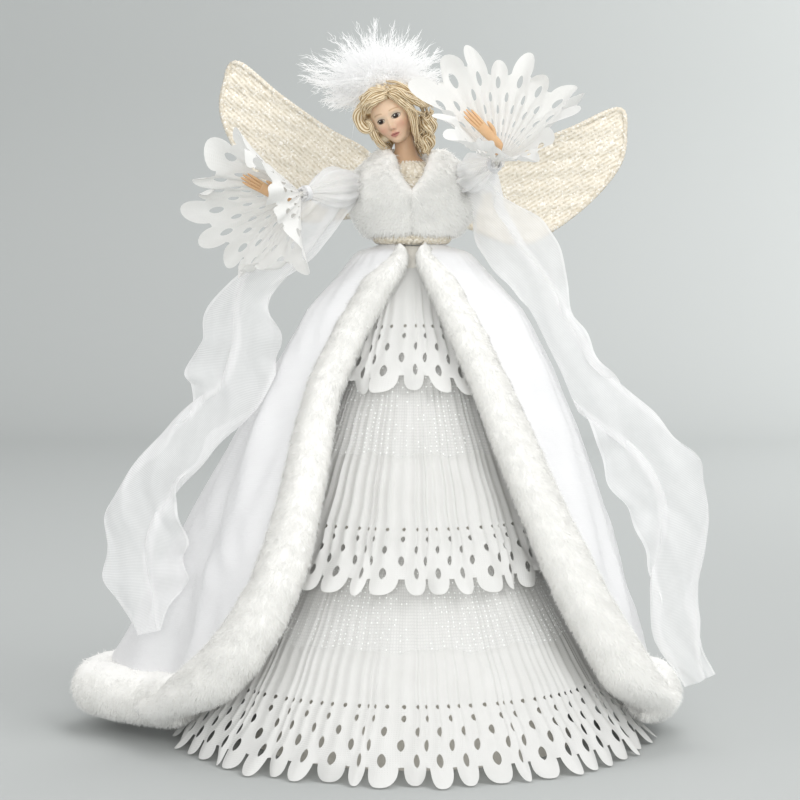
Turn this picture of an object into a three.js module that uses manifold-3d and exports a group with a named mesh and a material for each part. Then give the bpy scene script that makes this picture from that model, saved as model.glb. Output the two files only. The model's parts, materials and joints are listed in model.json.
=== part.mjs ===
// An angel tree topper: a doll in a tiered lace gown and a fur edged coat, with wings and feathers,
// built on a stiff cone that goes over the tip of a tree. Millimetres, +Z up.
// The doll faces -Y, its own left hand is on +X, and the origin is the centre of the cone's foot.

import * as THREE from 'three';
import { mergeVertices } from 'three/addons/utils/BufferGeometryUtils.js';
import Module from 'manifold-3d';

const wasm = await Module();
wasm.setup();

// Fits
const SEAT_GAP = 0.3; // between pieces that are glued, sewn or pushed together
const SWING_GAP = 0.8; // between the stole and an arm that swings in it

// Cone under the gown
const CONE_HEIGHT = 282;
const CONE_FOOT_RADIUS = 92;
const CONE_TOP_RADIUS = 16;
const CONE_WALL = 1.6;
const CONE_COLUMNS = 36;

// Tiers of the gown, from the inside out: where each is sewn on, and where and how wide its hem is
const TIER_CLOTH = 1.2;
const BOTTOM_TIER = { top: CONE_HEIGHT - 162, hem: 1, hemRadius: 126, folds: 54, foldDepth: 6, scallop: 5 };
const LOWER_BEAD_TIER = { top: CONE_HEIGHT - 147, hem: 66, hemRadius: 96, folds: 18, foldDepth: 1.5, scallop: 0 };
const MIDDLE_TIER = { top: CONE_HEIGHT - 52, hem: 95, hemRadius: 84, folds: 36, foldDepth: 5, scallop: 5 };
const UPPER_BEAD_TIER = { top: CONE_HEIGHT - 32, hem: 168, hemRadius: 59, folds: 18, foldDepth: 1.5, scallop: 0 };
const APRON_TIER = { top: CONE_HEIGHT - 17, hem: 203, hemRadius: 48, folds: 20, foldDepth: 4, scallop: 5 };

// Torso, from the waist up: half width, half depth and height above the waist
const TORSO_RINGS = [
  { halfWidth: 16, halfDepth: 16, rise: 0 },
  { halfWidth: 16, halfDepth: 16, rise: 7.5 },
  { halfWidth: 16.5, halfDepth: 13, rise: 14 },
  { halfWidth: 20, halfDepth: 14, rise: 24 },
  { halfWidth: 21.7, halfDepth: 13, rise: 34.7 },
  { halfWidth: 16, halfDepth: 10.5, rise: 39.7 },
];
const TORSO_SIDES = 20;
const BODICE_BOTTOM = 8;
const BODICE_TOP = 28;
const BODICE_CLOTH = 1;

// Belt at the waist
const BELT_RADIUS = 3;
const BELT_RISE = 3.9; // its middle above the waist

// Coat
const COAT_CLOTH = 2;
const COAT_WAIST_RADIUS = 30;
const COAT_SHOULDER = 2.5; // height of the gathered top that turns out from the waist
const COAT_BELL = 0.58; // below 1 the sides swell out near the waist
const COAT_HEM_EASE = 2; // how far the sides hang outside the front edges at the hem
const COAT_FLARE = 44; // how much further the doll's right side is pulled out
const COAT_FLARE_BELL = 0.86;
const COAT_FLARE_ANGLE = -100;
const COAT_FLARE_FRONT = 32;
const COAT_FLARE_BACK = 68;
const COAT_EASE_ANGLE = 28; // from a front edge to where the side has its full swell
const COAT_EDGES = { // share of a front edge's fall, then degrees from the front that it has come to
  left: [[0.1, 33], [0.2, 38], [0.33, 43.5], [0.46, 47.5], [0.62, 52], [0.74, 56], [0.86, 62], [0.94, 67], [1, 72]],
  right: [[0.1, 40], [0.2, 47], [0.3, 49], [0.38, 47], [0.46, 44], [0.56, 42], [0.68, 42], [0.76, 44], [0.86, 50],
    [0.94, 58], [1, 70]],
};
const COAT_FOLDS = 11;
const COAT_FOLD_DEPTH = 3.5;
const COAT_COLUMNS = 40;
const COAT_ROWS = 7;

// Fur trim of the coat
const TRIM_TOP_RADIUS = 6.5;
const TRIM_TOP_DROP = 6; // below the coat's top
const TRIM_FOOT = 16; // height of the trims' lower ends
const HEM_FUR_RADIUS = 14;
const HEM_FUR_HEIGHT = 26;
const FUR_EASE = 1; // fur stands this far off the gown
const FUR_SIDES = 8;
const TRIM_STEPS = 14;
const HEM_FUR_STEPS = 34;

// Head, neck and shoulder plate, with the head's middle given from the middle of the torso's top
const HEAD_OFFSET = [-12, -7, 34];
const HEAD_HALF = [11.5, 13.5, 17];
const HEAD_ROLL = -19;
const HEAD_TURN = -16;
const HEAD_NOD = 4;
const JAW_HALF = [8, 8.5, 10];
const JAW_OFFSET = [0, -4, -8];
const NOSE_HEIGHT = 6;
const NOSE_RADIUS = 1.5;
const NECK_RADIUS = 6;
const NECK_SIDES = 12;
const PLATE_HALF = [15, 10];
const PLATE_THICKNESS = 3.2;
const HAIR_DEPTH = 3.6;
const LACE_HEIGHT = 3;
const LACE_HALF = [13.4, 9.4];

// Curls of the hair in the head's own frame: place and radius
const CURLS = [
  [13, 2, -3, 6],
  [15, 3, -11, 5.5],
  [15, 3, -18, 4.6],
  [14, 2, -23.5, 3.6],
  [-12.5, 1, -2, 5],
  [-12.5, 3, -9, 4.5],
  [-8, -8, 11, 5],
  [1, -9, 13.5, 5],
  [9, -7, 10, 5.5],
];
const FACE_OPENING_HALF = [9.8, 14, 13];
const FACE_OPENING_OFFSET = [0, -15, -5];

// Feather burst behind and over the head, with its middle given from the middle of the torso's top
const BURST_OFFSET = [-21, 4, 55];
const BURST_HALF = [45, 18, 31.5];
const BURST_CORE = 0.64; // the hollows between the plumes reach at least this share of the plumes
const BURST_FILL = 0.33; // how much of the rest the fullest hollow fills
const PLUME_EVERY = 3;
const HOLLOW_KINDS = 5;

// Stole: how far its fur stands off the body, as [rise, share of the pile]
const STOLE_PILE = 10;
const STOLE_DEPTH_SHARE = 0.85;
const STOLE_SHARES = [[8, 0.75], [16, 1.2], [26, 1.45], [35, 1.45], [39.7, 1.5]];
const COLLAR_RINGS = [
  { halfWidth: 24, halfDepth: 17, rise: 47 },
  { halfWidth: 18, halfDepth: 14, rise: 53 },
];
const STOLE_V_HALF = 12;
const STOLE_SIDES = 24;

// Arms, from the shoulder, with x outwards on either side
const SHOULDER_BALL = 3.5;
const ARM_WIRE_RADIUS = 1.5;
const WIRE_END = 8; // past the wrist, inside the cuff, where the hand is pushed on
const WIRE_SIDES = 8;
const ARMS = {
  left: { side: 1, wrist: [21.5, -37, 11], cuff: [0.05, -0.7, 0.72], hand: [-0.66, -0.45, 0.64] },
  right: { side: -1, wrist: [35.5, -38, -6], cuff: [0.7, -0.66, -0.27], hand: [0.76, -0.5, 0.44] },
};
const SWINGS = { left: [-45, -27, -9, 10], right: [-20, -2, 16, 35] }; // degrees, positive raises
const SLEEVE_START = 9;
const SLEEVE_RADII = [4.5, 9, 11, 10.5, 8, 4.5];
const SLEEVE_CLOTH = 1;
const SLEEVE_SIDES = 12;
const ROOM_SIDES = 8; // of the room that an arm swings in
const TIE_LENGTH = 3.6;
const TIE_RADIUS = 5;
const TIE_SETBACK = 1.2; // from the wrist
const CUFF_LENGTH = 45;
const CUFF_START = 3.2;
const CUFF_RADIUS = 36;
const CUFF_BELL = 0.9;
const CUFF_FOLDS = 16;
const CUFF_FOLD_DEPTH = 4;
const CUFF_SCALLOP = 5;
const CUFF_CLOTH = 1;
const CUFF_ROWS = 4;
const HAND_LENGTH = 31;
const HAND_BEND = 5;
const PALM_HALF = [4.2, 2.3];
const WRIST_SHARES = [0.6, 1.1]; // of the palm's half width and half thickness
const HAND_SECTIONS = [ // share of the length, then shares of the palm's half sizes
  [0, 0.65, 1.2],
  [0.3, 0.75, 1.15],
  [0.5, 1, 1],
  [0.7, 0.95, 0.85],
  [1, 0.4, 0.5],
];
const HAND_SIDES = 10;
const THUMB_FROM = 0.35; // share of the hand's length
const THUMB_LENGTH = 8;
const THUMB_SPREAD = 6.4;
const THUMB_RADII = [1.6, 1.1];
const THUMB_SIDES = 8;

// Organza streamers from the sleeves: radius, angle from the front and height of hand-hung points
const STREAMER_HALF_WIDTH = 14;
const STREAMER_CLOTH = 1.2;
const STREAMER_CREASE = 3;
const STREAMER_CLEAR = 2;
const STREAMER_TOP_SHARE = 0.2; // of the width, where it is gathered into the sleeve
const STREAMER_FULL_AT = 0.3;
const STREAMER_TAPER_AT = 0.85;
const STREAMER_TIP_SHARE = 0.25;
const STREAMER_STEPS = 18;
const STREAMER_PLEATS = 4;
const STREAMERS = {
  left: [[66, 77, 268], [82, 80, 235], [102, 82, 201], [119, 83, 172], [135, 84, 138], [142, 84, 113],
    [145, 84, 87], [151, 84, 61], [163, 85, 34]],
  right: [[76, 67, 273], [95, 72, 252], [100, 73, 224], [104, 73, 196], [122, 76, 168], [141, 78, 146],
    [150, 79, 117], [151, 79, 89], [147, 78, 66]],
};

// Wings, with the outline given along the wing and across it from its root
const WING_OUTLINE = [[0, 0], [16, 11], [36, 15], [61, 9], [95, 4], [127, 1], [124, -13], [113, -27],
  [90, -37], [62, -42], [38, -40], [15, -16]];
const WING_STEPS = 36;
const WING_CLOTH = 1;
const WING_WIRE_RADIUS = 1.2;
const WING_ROOT_X = 11;
const WING_ROOT_RISE = 18;
const WING_SWEEP = 10; // backwards at rest
const WING_RISE = { left: 28, right: 43 };
const PATCH_SIZE = [30, 2, 18];

// Small helpers
const radians = THREE.MathUtils.degToRad;
const vector = (x, y, z) => new THREE.Vector3(x, y, z);
const point = ([x, y, z]) => vector(x, y, z);
const mix = THREE.MathUtils.lerp;
const smooth = (x, low, high) => THREE.MathUtils.smoothstep(x, low, high);

// A place round the gown's axis: the angle is counted from the front towards +X
function around(radius, angle, z) {
  return vector(radius * Math.sin(radians(angle)), -radius * Math.cos(radians(angle)), z);
}

// Straight lines between [key, value] pairs whose keys rise
function along(pairs, key) {
  const after = pairs.findIndex((pair) => pair[0] >= key);
  if (after <= 0) return pairs[after < 0 ? pairs.length - 1 : 0][1];
  const [low, high] = [pairs[after - 1], pairs[after]];
  return mix(low[1], high[1], (key - low[0]) / (high[0] - low[0]));
}

// A closed mesh from corners and triangles, turned so that its faces point out
function closedMesh(corners, triangles) {
  let volume = 0;
  for (const [a, b, c] of triangles) {
    volume += corners[a].dot(corners[b].clone().cross(corners[c]));
  }
  const outward = volume > 0 ? triangles : triangles.map(([a, b, c]) => [a, c, b]);
  const geometry = new THREE.BufferGeometry();
  geometry.setFromPoints(corners);
  geometry.setIndex(outward.flat());
  geometry.computeVertexNormals();
  return geometry;
}

// A solid through rings of equally many points, with flat ends, or joined end to end
function loft(rings, joined = false) {
  const count = rings[0].length;
  const corners = rings.flat();
  const triangles = [];
  const spans = joined ? rings.length : rings.length - 1;
  for (let i = 0; i < spans; i += 1) {
    const low = i * count;
    const high = ((i + 1) % rings.length) * count;
    for (let j = 0; j < count; j += 1) {
      const next = (j + 1) % count;
      triangles.push([low + j, low + next, high + next], [low + j, high + next, high + j]);
    }
  }
  if (!joined) {
    const last = (rings.length - 1) * count;
    for (let j = 1; j < count - 1; j += 1) {
      triangles.push([0, j + 1, j], [last, last + j, last + j + 1]);
    }
  }
  return closedMesh(corners, triangles);
}

// A cloth between two like grids of points, open at its ends, and round if it wraps
function cloth(outer, inner, wraps) {
  const rows = outer.length;
  const columns = outer[0].length;
  const corners = [...outer.flat(), ...inner.flat()];
  const at = (skin, i, j) => skin * rows * columns + i * columns + (j % columns);
  const triangles = [];
  const quad = (a, b, c, d) => triangles.push([a, b, c], [a, c, d]);
  const spans = wraps ? columns : columns - 1;
  for (let j = 0; j < spans; j += 1) {
    for (let i = 0; i < rows - 1; i += 1) {
      quad(at(0, i, j), at(0, i, j + 1), at(0, i + 1, j + 1), at(0, i + 1, j));
      quad(at(1, i, j), at(1, i + 1, j), at(1, i + 1, j + 1), at(1, i, j + 1));
    }
    quad(at(0, 0, j), at(1, 0, j), at(1, 0, j + 1), at(0, 0, j + 1));
    quad(at(0, rows - 1, j), at(0, rows - 1, j + 1), at(1, rows - 1, j + 1), at(1, rows - 1, j));
  }
  for (let i = 0; i < rows - 1 && !wraps; i += 1) {
    const edge = columns - 1;
    quad(at(0, i, 0), at(0, i + 1, 0), at(1, i + 1, 0), at(1, i, 0));
    quad(at(0, i, edge), at(1, i, edge), at(1, i + 1, edge), at(0, i + 1, edge));
  }
  return closedMesh(corners, triangles);
}

// A ring of points round a middle, in the plane of two directions
function ring(middle, u, v, a, b, sides) {
  return Array.from({ length: sides }, (_, i) => {
    const turn = (2 * Math.PI * i) / sides;
    return middle.clone().addScaledVector(u, a * Math.cos(turn)).addScaledVector(v, b * Math.sin(turn));
  });
}

function flatRing(x, y, z, a, b, sides) {
  return ring(vector(x, y, z), vector(1, 0, 0), vector(0, 1, 0), a, b, sides);
}

// Two directions square to a given one and to each other
function across(direction) {
  const away = Math.abs(direction.z) > 0.9 ? vector(1, 0, 0) : vector(0, 0, 1);
  const u = away.cross(direction).normalize();
  return [u, direction.clone().cross(u).normalize()];
}

// A round tube along a curve, with its radius given by the share of the way along
function tube(curve, steps, radiusAt, sides, joined = false) {
  const frames = curve.computeFrenetFrames(steps, joined);
  const rings = [];
  for (let i = 0; i < steps + (joined ? 0 : 1); i += 1) {
    const radius = radiusAt(i / steps);
    const middle = curve.getPointAt(i / steps);
    rings.push(ring(middle, frames.normals[i], frames.binormals[i], radius, radius, sides));
  }
  return loft(rings, joined);
}

function ball(middle, half, columns, rows) {
  const geometry = new THREE.SphereGeometry(1, columns, rows);
  geometry.scale(...half);
  geometry.translate(...middle);
  return geometry;
}

function evenBall(middle, radius, columns = 10, rows = 6) {
  return ball(middle, [radius, radius, radius], columns, rows);
}

// Solids for joins and cuts
function solid(geometry) {
  const bare = geometry.clone();
  bare.deleteAttribute('normal');
  bare.deleteAttribute('uv');
  const merged = mergeVertices(bare);
  return new wasm.Manifold(new wasm.Mesh({
    numProp: 3,
    vertProperties: new Float32Array(merged.attributes.position.array),
    triVerts: new Uint32Array(merged.index.array),
  }));
}

function meshOf(shape) {
  const mesh = shape.getMesh();
  const geometry = new THREE.BufferGeometry();
  geometry.setAttribute('position', new THREE.BufferAttribute(mesh.vertProperties, 3));
  geometry.setIndex(new THREE.BufferAttribute(mesh.triVerts, 1));
  geometry.computeVertexNormals();
  return geometry;
}

const joinAll = (shapes) => shapes.reduce((whole, shape) => whole.add(shape));
const largest = (shape) => shape.decompose().reduce((a, b) => (a.volume() > b.volume() ? a : b));

// The scene graph
const topper = new THREE.Group();

const CARD = { color: 0xd9cdb8, roughness: 0.9, metalness: 0 };
const FOAM = { color: 0xf2efe8, roughness: 0.9, metalness: 0 };
const EYELET = { color: 0xf7f7f5, roughness: 0.85, metalness: 0 };
const BEADS = { color: 0xf3f2ee, roughness: 0.4, metalness: 0 };
const SILK = { color: 0xf8f8f8, roughness: 0.55, metalness: 0 };
const FUR = { color: 0xfbfbfa, roughness: 1, metalness: 0 };
const ORGANZA = { color: 0xf4f4f4, roughness: 0.5, metalness: 0 };
const LACE = { color: 0xe9dfcb, roughness: 0.7, metalness: 0 };
const SKIN = { color: 0xd9ad8a, roughness: 0.6, metalness: 0 };
const HAIR = { color: 0xb99763, roughness: 0.6, metalness: 0 };
const WIRE = { color: 0xb8b6b0, roughness: 0.4, metalness: 0.9 };
const PLUME = { color: 0xfdfdfd, roughness: 1, metalness: 0 };

function add(name, geometry, finish, parent = topper) {
  const mesh = new THREE.Mesh(geometry, new THREE.MeshStandardMaterial(finish));
  mesh.name = name;
  parent.add(mesh);
  return mesh;
}

// Cone under the gown
const coneRadius = (z) => along([[0, CONE_FOOT_RADIUS], [CONE_HEIGHT, CONE_TOP_RADIUS]], z);
const coneRows = [CONE_HEIGHT, 0].map((z) => flatRing(0, 0, z, coneRadius(z), coneRadius(z), CONE_COLUMNS));
const coneInside = [CONE_HEIGHT, 0].map((z) => {
  const radius = coneRadius(z) - CONE_WALL;
  return flatRing(0, 0, z, radius, radius, CONE_COLUMNS);
});
add('inner_cone', cloth(coneRows, coneInside, true), CARD);

// Tiers of the gown: each clears the outside of those made before it
const layers = [];

function gownRadius(z) {
  const over = layers.filter((layer) => z >= layer.hem && z <= layer.top);
  return Math.max(coneRadius(z), ...over.map((layer) => along(layer.outside, z)));
}

function addTier(name, size, finish) {
  const columns = 2 * size.folds;
  const chord = Math.cos(Math.PI / columns);
  const drop = (z) => (size.top - z) / (size.top - size.hem);
  const seat = coneRadius(size.top) + SEAT_GAP;
  const turns = layers.flatMap((layer) => layer.outside.map(([z]) => z));
  const heights = [size.top, size.hem, ...turns.filter((z) => z > size.hem && z < size.top)];
  const rows = [...new Set(heights)].sort((a, b) => b - a);
  const radii = rows.map((z) => {
    const hung = mix(seat, size.hemRadius, drop(z));
    return Math.max(hung, gownRadius(z) + SEAT_GAP) / chord;
  });
  const skin = (extra) => rows.map((z, i) => Array.from({ length: columns }, (_, j) => {
    const foldOut = j % 2 === 0;
    const radius = radii[i] + extra + (foldOut ? size.foldDepth * drop(z) : 0);
    const lift = z === size.hem && !foldOut ? size.scallop : 0;
    return around(radius, (360 * j) / columns, z + lift);
  }));
  add(name, cloth(skin(TIER_CLOTH), skin(0), true), finish);
  const outside = rows.map((z, i) => [z, radii[i] + TIER_CLOTH + size.foldDepth * drop(z)]);
  layers.push({ top: size.top, hem: size.hem, outside: outside.reverse() });
}

addTier('bottom_tier', BOTTOM_TIER, EYELET);
addTier('lower_bead_tier', LOWER_BEAD_TIER, BEADS);
addTier('middle_tier', MIDDLE_TIER, EYELET);
addTier('upper_bead_tier', UPPER_BEAD_TIER, BEADS);
addTier('apron_tier', APRON_TIER, EYELET);

// Torso and bodice
const waist = CONE_HEIGHT + SEAT_GAP;
const torsoHeight = TORSO_RINGS.at(-1).rise;
const torsoTop = waist + torsoHeight;
const torsoWidths = TORSO_RINGS.map(({ rise, halfWidth }) => [rise, halfWidth]);
const torsoDepths = TORSO_RINGS.map(({ rise, halfDepth }) => [rise, halfDepth]);

function torsoRing(rise, wide, deep = wide, sides = TORSO_SIDES) {
  const halfWidth = along(torsoWidths, rise) + wide;
  const halfDepth = along(torsoDepths, rise) + deep;
  return flatRing(0, 0, waist + rise, halfWidth, halfDepth, sides);
}

add('torso_form', loft(TORSO_RINGS.map(({ rise }) => torsoRing(rise, 0))), FOAM);

const bodiceRises = [BODICE_BOTTOM, ...torsoWidths.map(([rise]) => rise), BODICE_TOP]
  .filter((rise) => rise >= BODICE_BOTTOM && rise <= BODICE_TOP)
  .sort((a, b) => a - b);
const bodiceInside = bodiceRises.map((rise) => torsoRing(rise, SEAT_GAP));
const bodiceOutside = bodiceRises.map((rise) => torsoRing(rise, SEAT_GAP + BODICE_CLOTH));
add('bodice', cloth(bodiceOutside, bodiceInside, true), LACE);

// Belt
const beltRing = CONE_TOP_RADIUS + SEAT_GAP + BELT_RADIUS;
const beltMiddle = waist + BELT_RISE;
const belt = new THREE.TorusGeometry(beltRing, BELT_RADIUS, 8, 24);
belt.translate(0, 0, beltMiddle);
add('waist_belt', meshOf(solid(belt)), LACE);

// Coat and its fur: the front edges lie taut over the tiers
const coatTop = beltMiddle - BELT_RADIUS - SEAT_GAP;
const coatFoot = HEM_FUR_HEIGHT + HEM_FUR_RADIUS + SEAT_GAP;
const trimTop = coatTop - TRIM_TOP_DROP;
const coatDrop = (z) => THREE.MathUtils.clamp((trimTop - z) / (trimTop - HEM_FUR_HEIGHT), 0, 1);
const furRadius = (z) => mix(TRIM_TOP_RADIUS, HEM_FUR_RADIUS, coatDrop(z));

// How far from the axis a ball's middle lies when the ball rests on the gown
function restingRadius(z) {
  const reach = furRadius(z) + FUR_EASE;
  let radius = 0;
  for (let step = -1; step <= 1; step += 0.05) {
    radius = Math.max(radius, gownRadius(z + step * reach) + reach * Math.sqrt(1 - step * step));
  }
  return radius;
}

// The tautest line over all resting places, as [height, radius] pairs
function tautLine(low, high) {
  const hull = [];
  for (let z = low; z <= high; z += 2) {
    const next = [z, restingRadius(z)];
    const sags = () => {
      const [a, b] = hull.slice(-2);
      return (b[1] - a[1]) * (next[0] - b[0]) <= (next[1] - b[1]) * (b[0] - a[0]);
    };
    while (hull.length > 1 && sags()) hull.pop();
    hull.push(next);
  }
  return hull;
}

const trimPath = tautLine(TRIM_FOOT, trimTop);
const trimRadius = (z) => along(trimPath, z);
const openingTop = (180 / Math.PI) * Math.asin((TRIM_TOP_RADIUS + SEAT_GAP) / trimRadius(trimTop));
const opening = (z, side) => {
  const edge = side > 0 ? COAT_EDGES.left : COAT_EDGES.right;
  return along([[0, openingTop], ...edge], coatDrop(z));
};
const coatHemRadius = trimRadius(HEM_FUR_HEIGHT) + COAT_HEM_EASE;

// The middle of the coat's cloth at an angle and a height
function coatRadius(angle, z) {
  const drop = coatDrop(z);
  const edge = trimRadius(z);
  const plain = mix(COAT_WAIST_RADIUS, coatHemRadius, drop ** COAT_BELL);
  const pulled = mix(COAT_WAIST_RADIUS, coatHemRadius + COAT_FLARE, drop ** COAT_FLARE_BELL);
  const off = angle > 0 ? angle - 360 - COAT_FLARE_ANGLE : angle - COAT_FLARE_ANGLE;
  const spread = off > 0 ? off / COAT_FLARE_FRONT : off / COAT_FLARE_BACK;
  const flare = Math.abs(spread) < 1 ? Math.cos((spread * Math.PI) / 2) ** 2 : 0;
  const front = opening(z, angle);
  const away = smooth(Math.abs(angle), front, front + COAT_EASE_ANGLE);
  const fold = COAT_FOLD_DEPTH * drop * Math.cos(radians(COAT_FOLDS * angle));
  return edge + away * (Math.max(mix(plain, pulled, flare), edge) - edge + fold);
}

function trimCurve(side) {
  const spots = Array.from({ length: TRIM_STEPS + 1 }, (_, i) => {
    const z = mix(trimTop, TRIM_FOOT, i / TRIM_STEPS);
    return around(trimRadius(z), side * opening(z, side), z);
  });
  return new THREE.CatmullRomCurve3(spots);
}

function trim(side, grow) {
  const curve = trimCurve(side);
  return tube(curve, TRIM_STEPS, (share) => furRadius(curve.getPointAt(share).z) + grow, FUR_SIDES);
}

const trimRooms = [1, -1].map((side) => solid(trim(side, SEAT_GAP)));
add('coat_trim_left', trim(1, 0), FUR);
add('coat_trim_right', trim(-1, 0), FUR);

// The angle across the back, from the left trim at share 0 to the right trim at share 1
const backAngle = (z, share) => {
  const turn = mix(opening(z, 1), 360 - opening(z, -1), share);
  return turn > 180 ? turn - 360 : turn;
};

const hemSpots = Array.from({ length: HEM_FUR_STEPS + 1 }, (_, i) => {
  const angle = backAngle(HEM_FUR_HEIGHT, i / HEM_FUR_STEPS);
  return around(coatRadius(angle, HEM_FUR_HEIGHT), angle, HEM_FUR_HEIGHT);
});
const hemFur = tube(new THREE.CatmullRomCurve3(hemSpots), HEM_FUR_STEPS, () => HEM_FUR_RADIUS, FUR_SIDES);
add('coat_hem_fur', meshOf(largest(trimRooms.reduce((a, b) => a.subtract(b), solid(hemFur)))), FUR);

const coatLow = coatTop - COAT_SHOULDER;
const coatRows = Array.from({ length: COAT_ROWS + 1 }, (_, i) => mix(coatLow, coatFoot, i / COAT_ROWS));
const coatHeights = [coatTop, ...coatRows];
const coatSkin = (offset) => coatHeights.map((z) => Array.from({ length: COAT_COLUMNS + 1 }, (_, j) => {
  const angle = backAngle(z, j / COAT_COLUMNS);
  const gathered = CONE_TOP_RADIUS + SEAT_GAP + COAT_CLOTH;
  const radius = z === coatTop ? gathered : coatRadius(angle, z);
  return around(radius + offset, angle, z);
}));
const coatBlank = solid(cloth(coatSkin(COAT_CLOTH / 2), coatSkin(-COAT_CLOTH / 2), false));
add('coat', meshOf(largest(trimRooms.reduce((a, b) => a.subtract(b), coatBlank))), SILK);

// Head, neck and shoulder plate
const headFrame = new THREE.Matrix4().compose(
  vector(0, 0, torsoTop).add(point(HEAD_OFFSET)),
  new THREE.Quaternion().setFromEuler(
    new THREE.Euler(radians(HEAD_NOD), radians(HEAD_ROLL), radians(HEAD_TURN), 'YZX'),
  ),
  vector(1, 1, 1),
);
const plateFoot = torsoTop + SEAT_GAP;
const plateTop = plateFoot + PLATE_THICKNESS;

function neck(grow) {
  const foot = vector(0, 0, plateFoot + PLATE_THICKNESS / 2);
  const head = vector(0, 0, -HEAD_HALF[2] / 2).applyMatrix4(headFrame);
  const radius = NECK_RADIUS + grow;
  return solid(loft([foot, head].map(({ x, y, z }) => flatRing(x, y, z, radius, radius, NECK_SIDES))));
}

function skull(grow) {
  const grown = (half) => half.map((size) => size + grow);
  const jaw = solid(ball(JAW_OFFSET, grown(JAW_HALF), 12, 8).applyMatrix4(headFrame));
  return solid(ball([0, 0, 0], grown(HEAD_HALF), 14, 9).applyMatrix4(headFrame)).add(jaw);
}

function plate(grow) {
  const rings = [plateFoot - grow, plateTop + grow].map(
    (z) => flatRing(0, 0, z, PLATE_HALF[0] + grow, PLATE_HALF[1] + grow, TORSO_SIDES),
  );
  return solid(loft(rings));
}

const nose = new THREE.ConeGeometry(NOSE_RADIUS, NOSE_HEIGHT, 6);
nose.rotateX(Math.PI / 2);
nose.translate(0, JAW_OFFSET[1] - JAW_HALF[1], JAW_OFFSET[2] / 2);
add('head', meshOf(joinAll([skull(0), neck(0), plate(0), solid(nose.applyMatrix4(headFrame))])), SKIN);

// Hair: a cap with curls, open at the face and over the neck
function hairBlank(grow) {
  const cap = ball([0, 1, 1], HEAD_HALF.map((half) => half + HAIR_DEPTH + grow), 14, 9);
  const curls = CURLS.map(([x, y, z, radius]) => evenBall([x, y, z], radius + grow, 8, 5));
  return joinAll([cap, ...curls].map((shape) => solid(shape.applyMatrix4(headFrame))));
}

const faceOpening = solid(ball(FACE_OPENING_OFFSET, FACE_OPENING_HALF, 12, 8).applyMatrix4(headFrame));
const chinSize = 2 * (JAW_HALF[0] + SEAT_GAP);
const chinOpening = new THREE.BoxGeometry(chinSize, 4 * JAW_HALF[1], HEAD_HALF[2]);
chinOpening.translate(0, JAW_OFFSET[1] - JAW_HALF[1], -HEAD_HALF[2]);
const bodyRoom = joinAll([skull(SEAT_GAP), neck(SEAT_GAP), plate(SEAT_GAP)]);
const hair = largest(hairBlank(0)
  .subtract(faceOpening)
  .subtract(solid(chinOpening.applyMatrix4(headFrame)))
  .subtract(bodyRoom));
add('hair', meshOf(hair), HAIR);

// Lace round the neckline, lying on the shoulder plate
const laceFoot = plateTop + SEAT_GAP;
const laceRings = [laceFoot, laceFoot + LACE_HEIGHT].map(
  (z, i) => flatRing(0, 0, z, LACE_HALF[0] - i * LACE_HEIGHT, LACE_HALF[1] - i, TORSO_SIDES),
);
const laceBlank = solid(loft(laceRings));
add('neck_lace', meshOf(largest(laceBlank.subtract(neck(SEAT_GAP)).subtract(skull(SEAT_GAP)))), LACE);

// Feather burst: a ball whose corners stand out as plumes
const burst = mergeVertices(
  new THREE.IcosahedronGeometry(1, 3).deleteAttribute('normal').deleteAttribute('uv'),
);
const burstMiddle = vector(0, 0, torsoTop).add(point(BURST_OFFSET));
for (let i = 0; i < burst.attributes.position.count; i += 1) {
  const spot = new THREE.Vector3().fromBufferAttribute(burst.attributes.position, i);
  const hollow = mix(BURST_CORE, 1, (BURST_FILL * (i % HOLLOW_KINDS)) / (HOLLOW_KINDS - 1));
  const reach = i % PLUME_EVERY === 0 ? 1 : hollow;
  spot.multiplyScalar(reach).multiply(point(BURST_HALF)).add(burstMiddle);
  burst.attributes.position.setXYZ(i, spot.x, spot.y, spot.z);
}
const headRoom = hairBlank(SEAT_GAP).add(bodyRoom);
add('halo_feathers', meshOf(largest(solid(burst).subtract(headRoom))), PLUME);

// Arms
const shoulderRing = TORSO_RINGS.at(-2);
const shoulderX = shoulderRing.halfWidth + SEAT_GAP + SHOULDER_BALL;

function armPlan({ side, wrist, cuff, hand }) {
  const outward = ([x, y, z]) => vector(side * x, y, z);
  const shoulder = vector(side * shoulderX, 0, waist + shoulderRing.rise);
  const end = shoulder.clone().add(outward(wrist));
  const run = end.clone().sub(shoulder);
  return {
    side,
    shoulder,
    wrist: end,
    reach: run.length(),
    run: run.normalize(),
    cuff: outward(cuff).normalize(),
    hand: outward(hand).normalize(),
  };
}

const onArm = (arm, distance) => arm.shoulder.clone().addScaledVector(arm.run, distance);
const onCuff = (arm, distance) => arm.wrist.clone().addScaledVector(arm.cuff, distance);

function armWire(arm) {
  const bendStart = onArm(arm, arm.reach - TIE_SETBACK);
  const bendEnd = onCuff(arm, TIE_SETBACK);
  const bend = new THREE.QuadraticBezierCurve3(bendStart, arm.wrist, bendEnd);
  const stations = [
    [arm.shoulder, 0],
    [bendStart, 0],
    [bend.getPoint(0.5), 0.5],
    [bendEnd, 1],
    [onCuff(arm, WIRE_END), 1],
  ];
  const [runSide] = across(arm.run);
  const [cuffSide] = across(arm.cuff);
  const rings = stations.map(([middle, share]) => {
    const way = arm.run.clone().lerp(arm.cuff, share).normalize();
    const u = runSide.clone().lerp(cuffSide, share).projectOnPlane(way).normalize();
    return ring(middle, u, way.clone().cross(u), ARM_WIRE_RADIUS, ARM_WIRE_RADIUS, WIRE_SIDES);
  });
  return solid(loft(rings)).add(solid(evenBall(arm.shoulder.toArray(), SHOULDER_BALL)));
}

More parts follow.
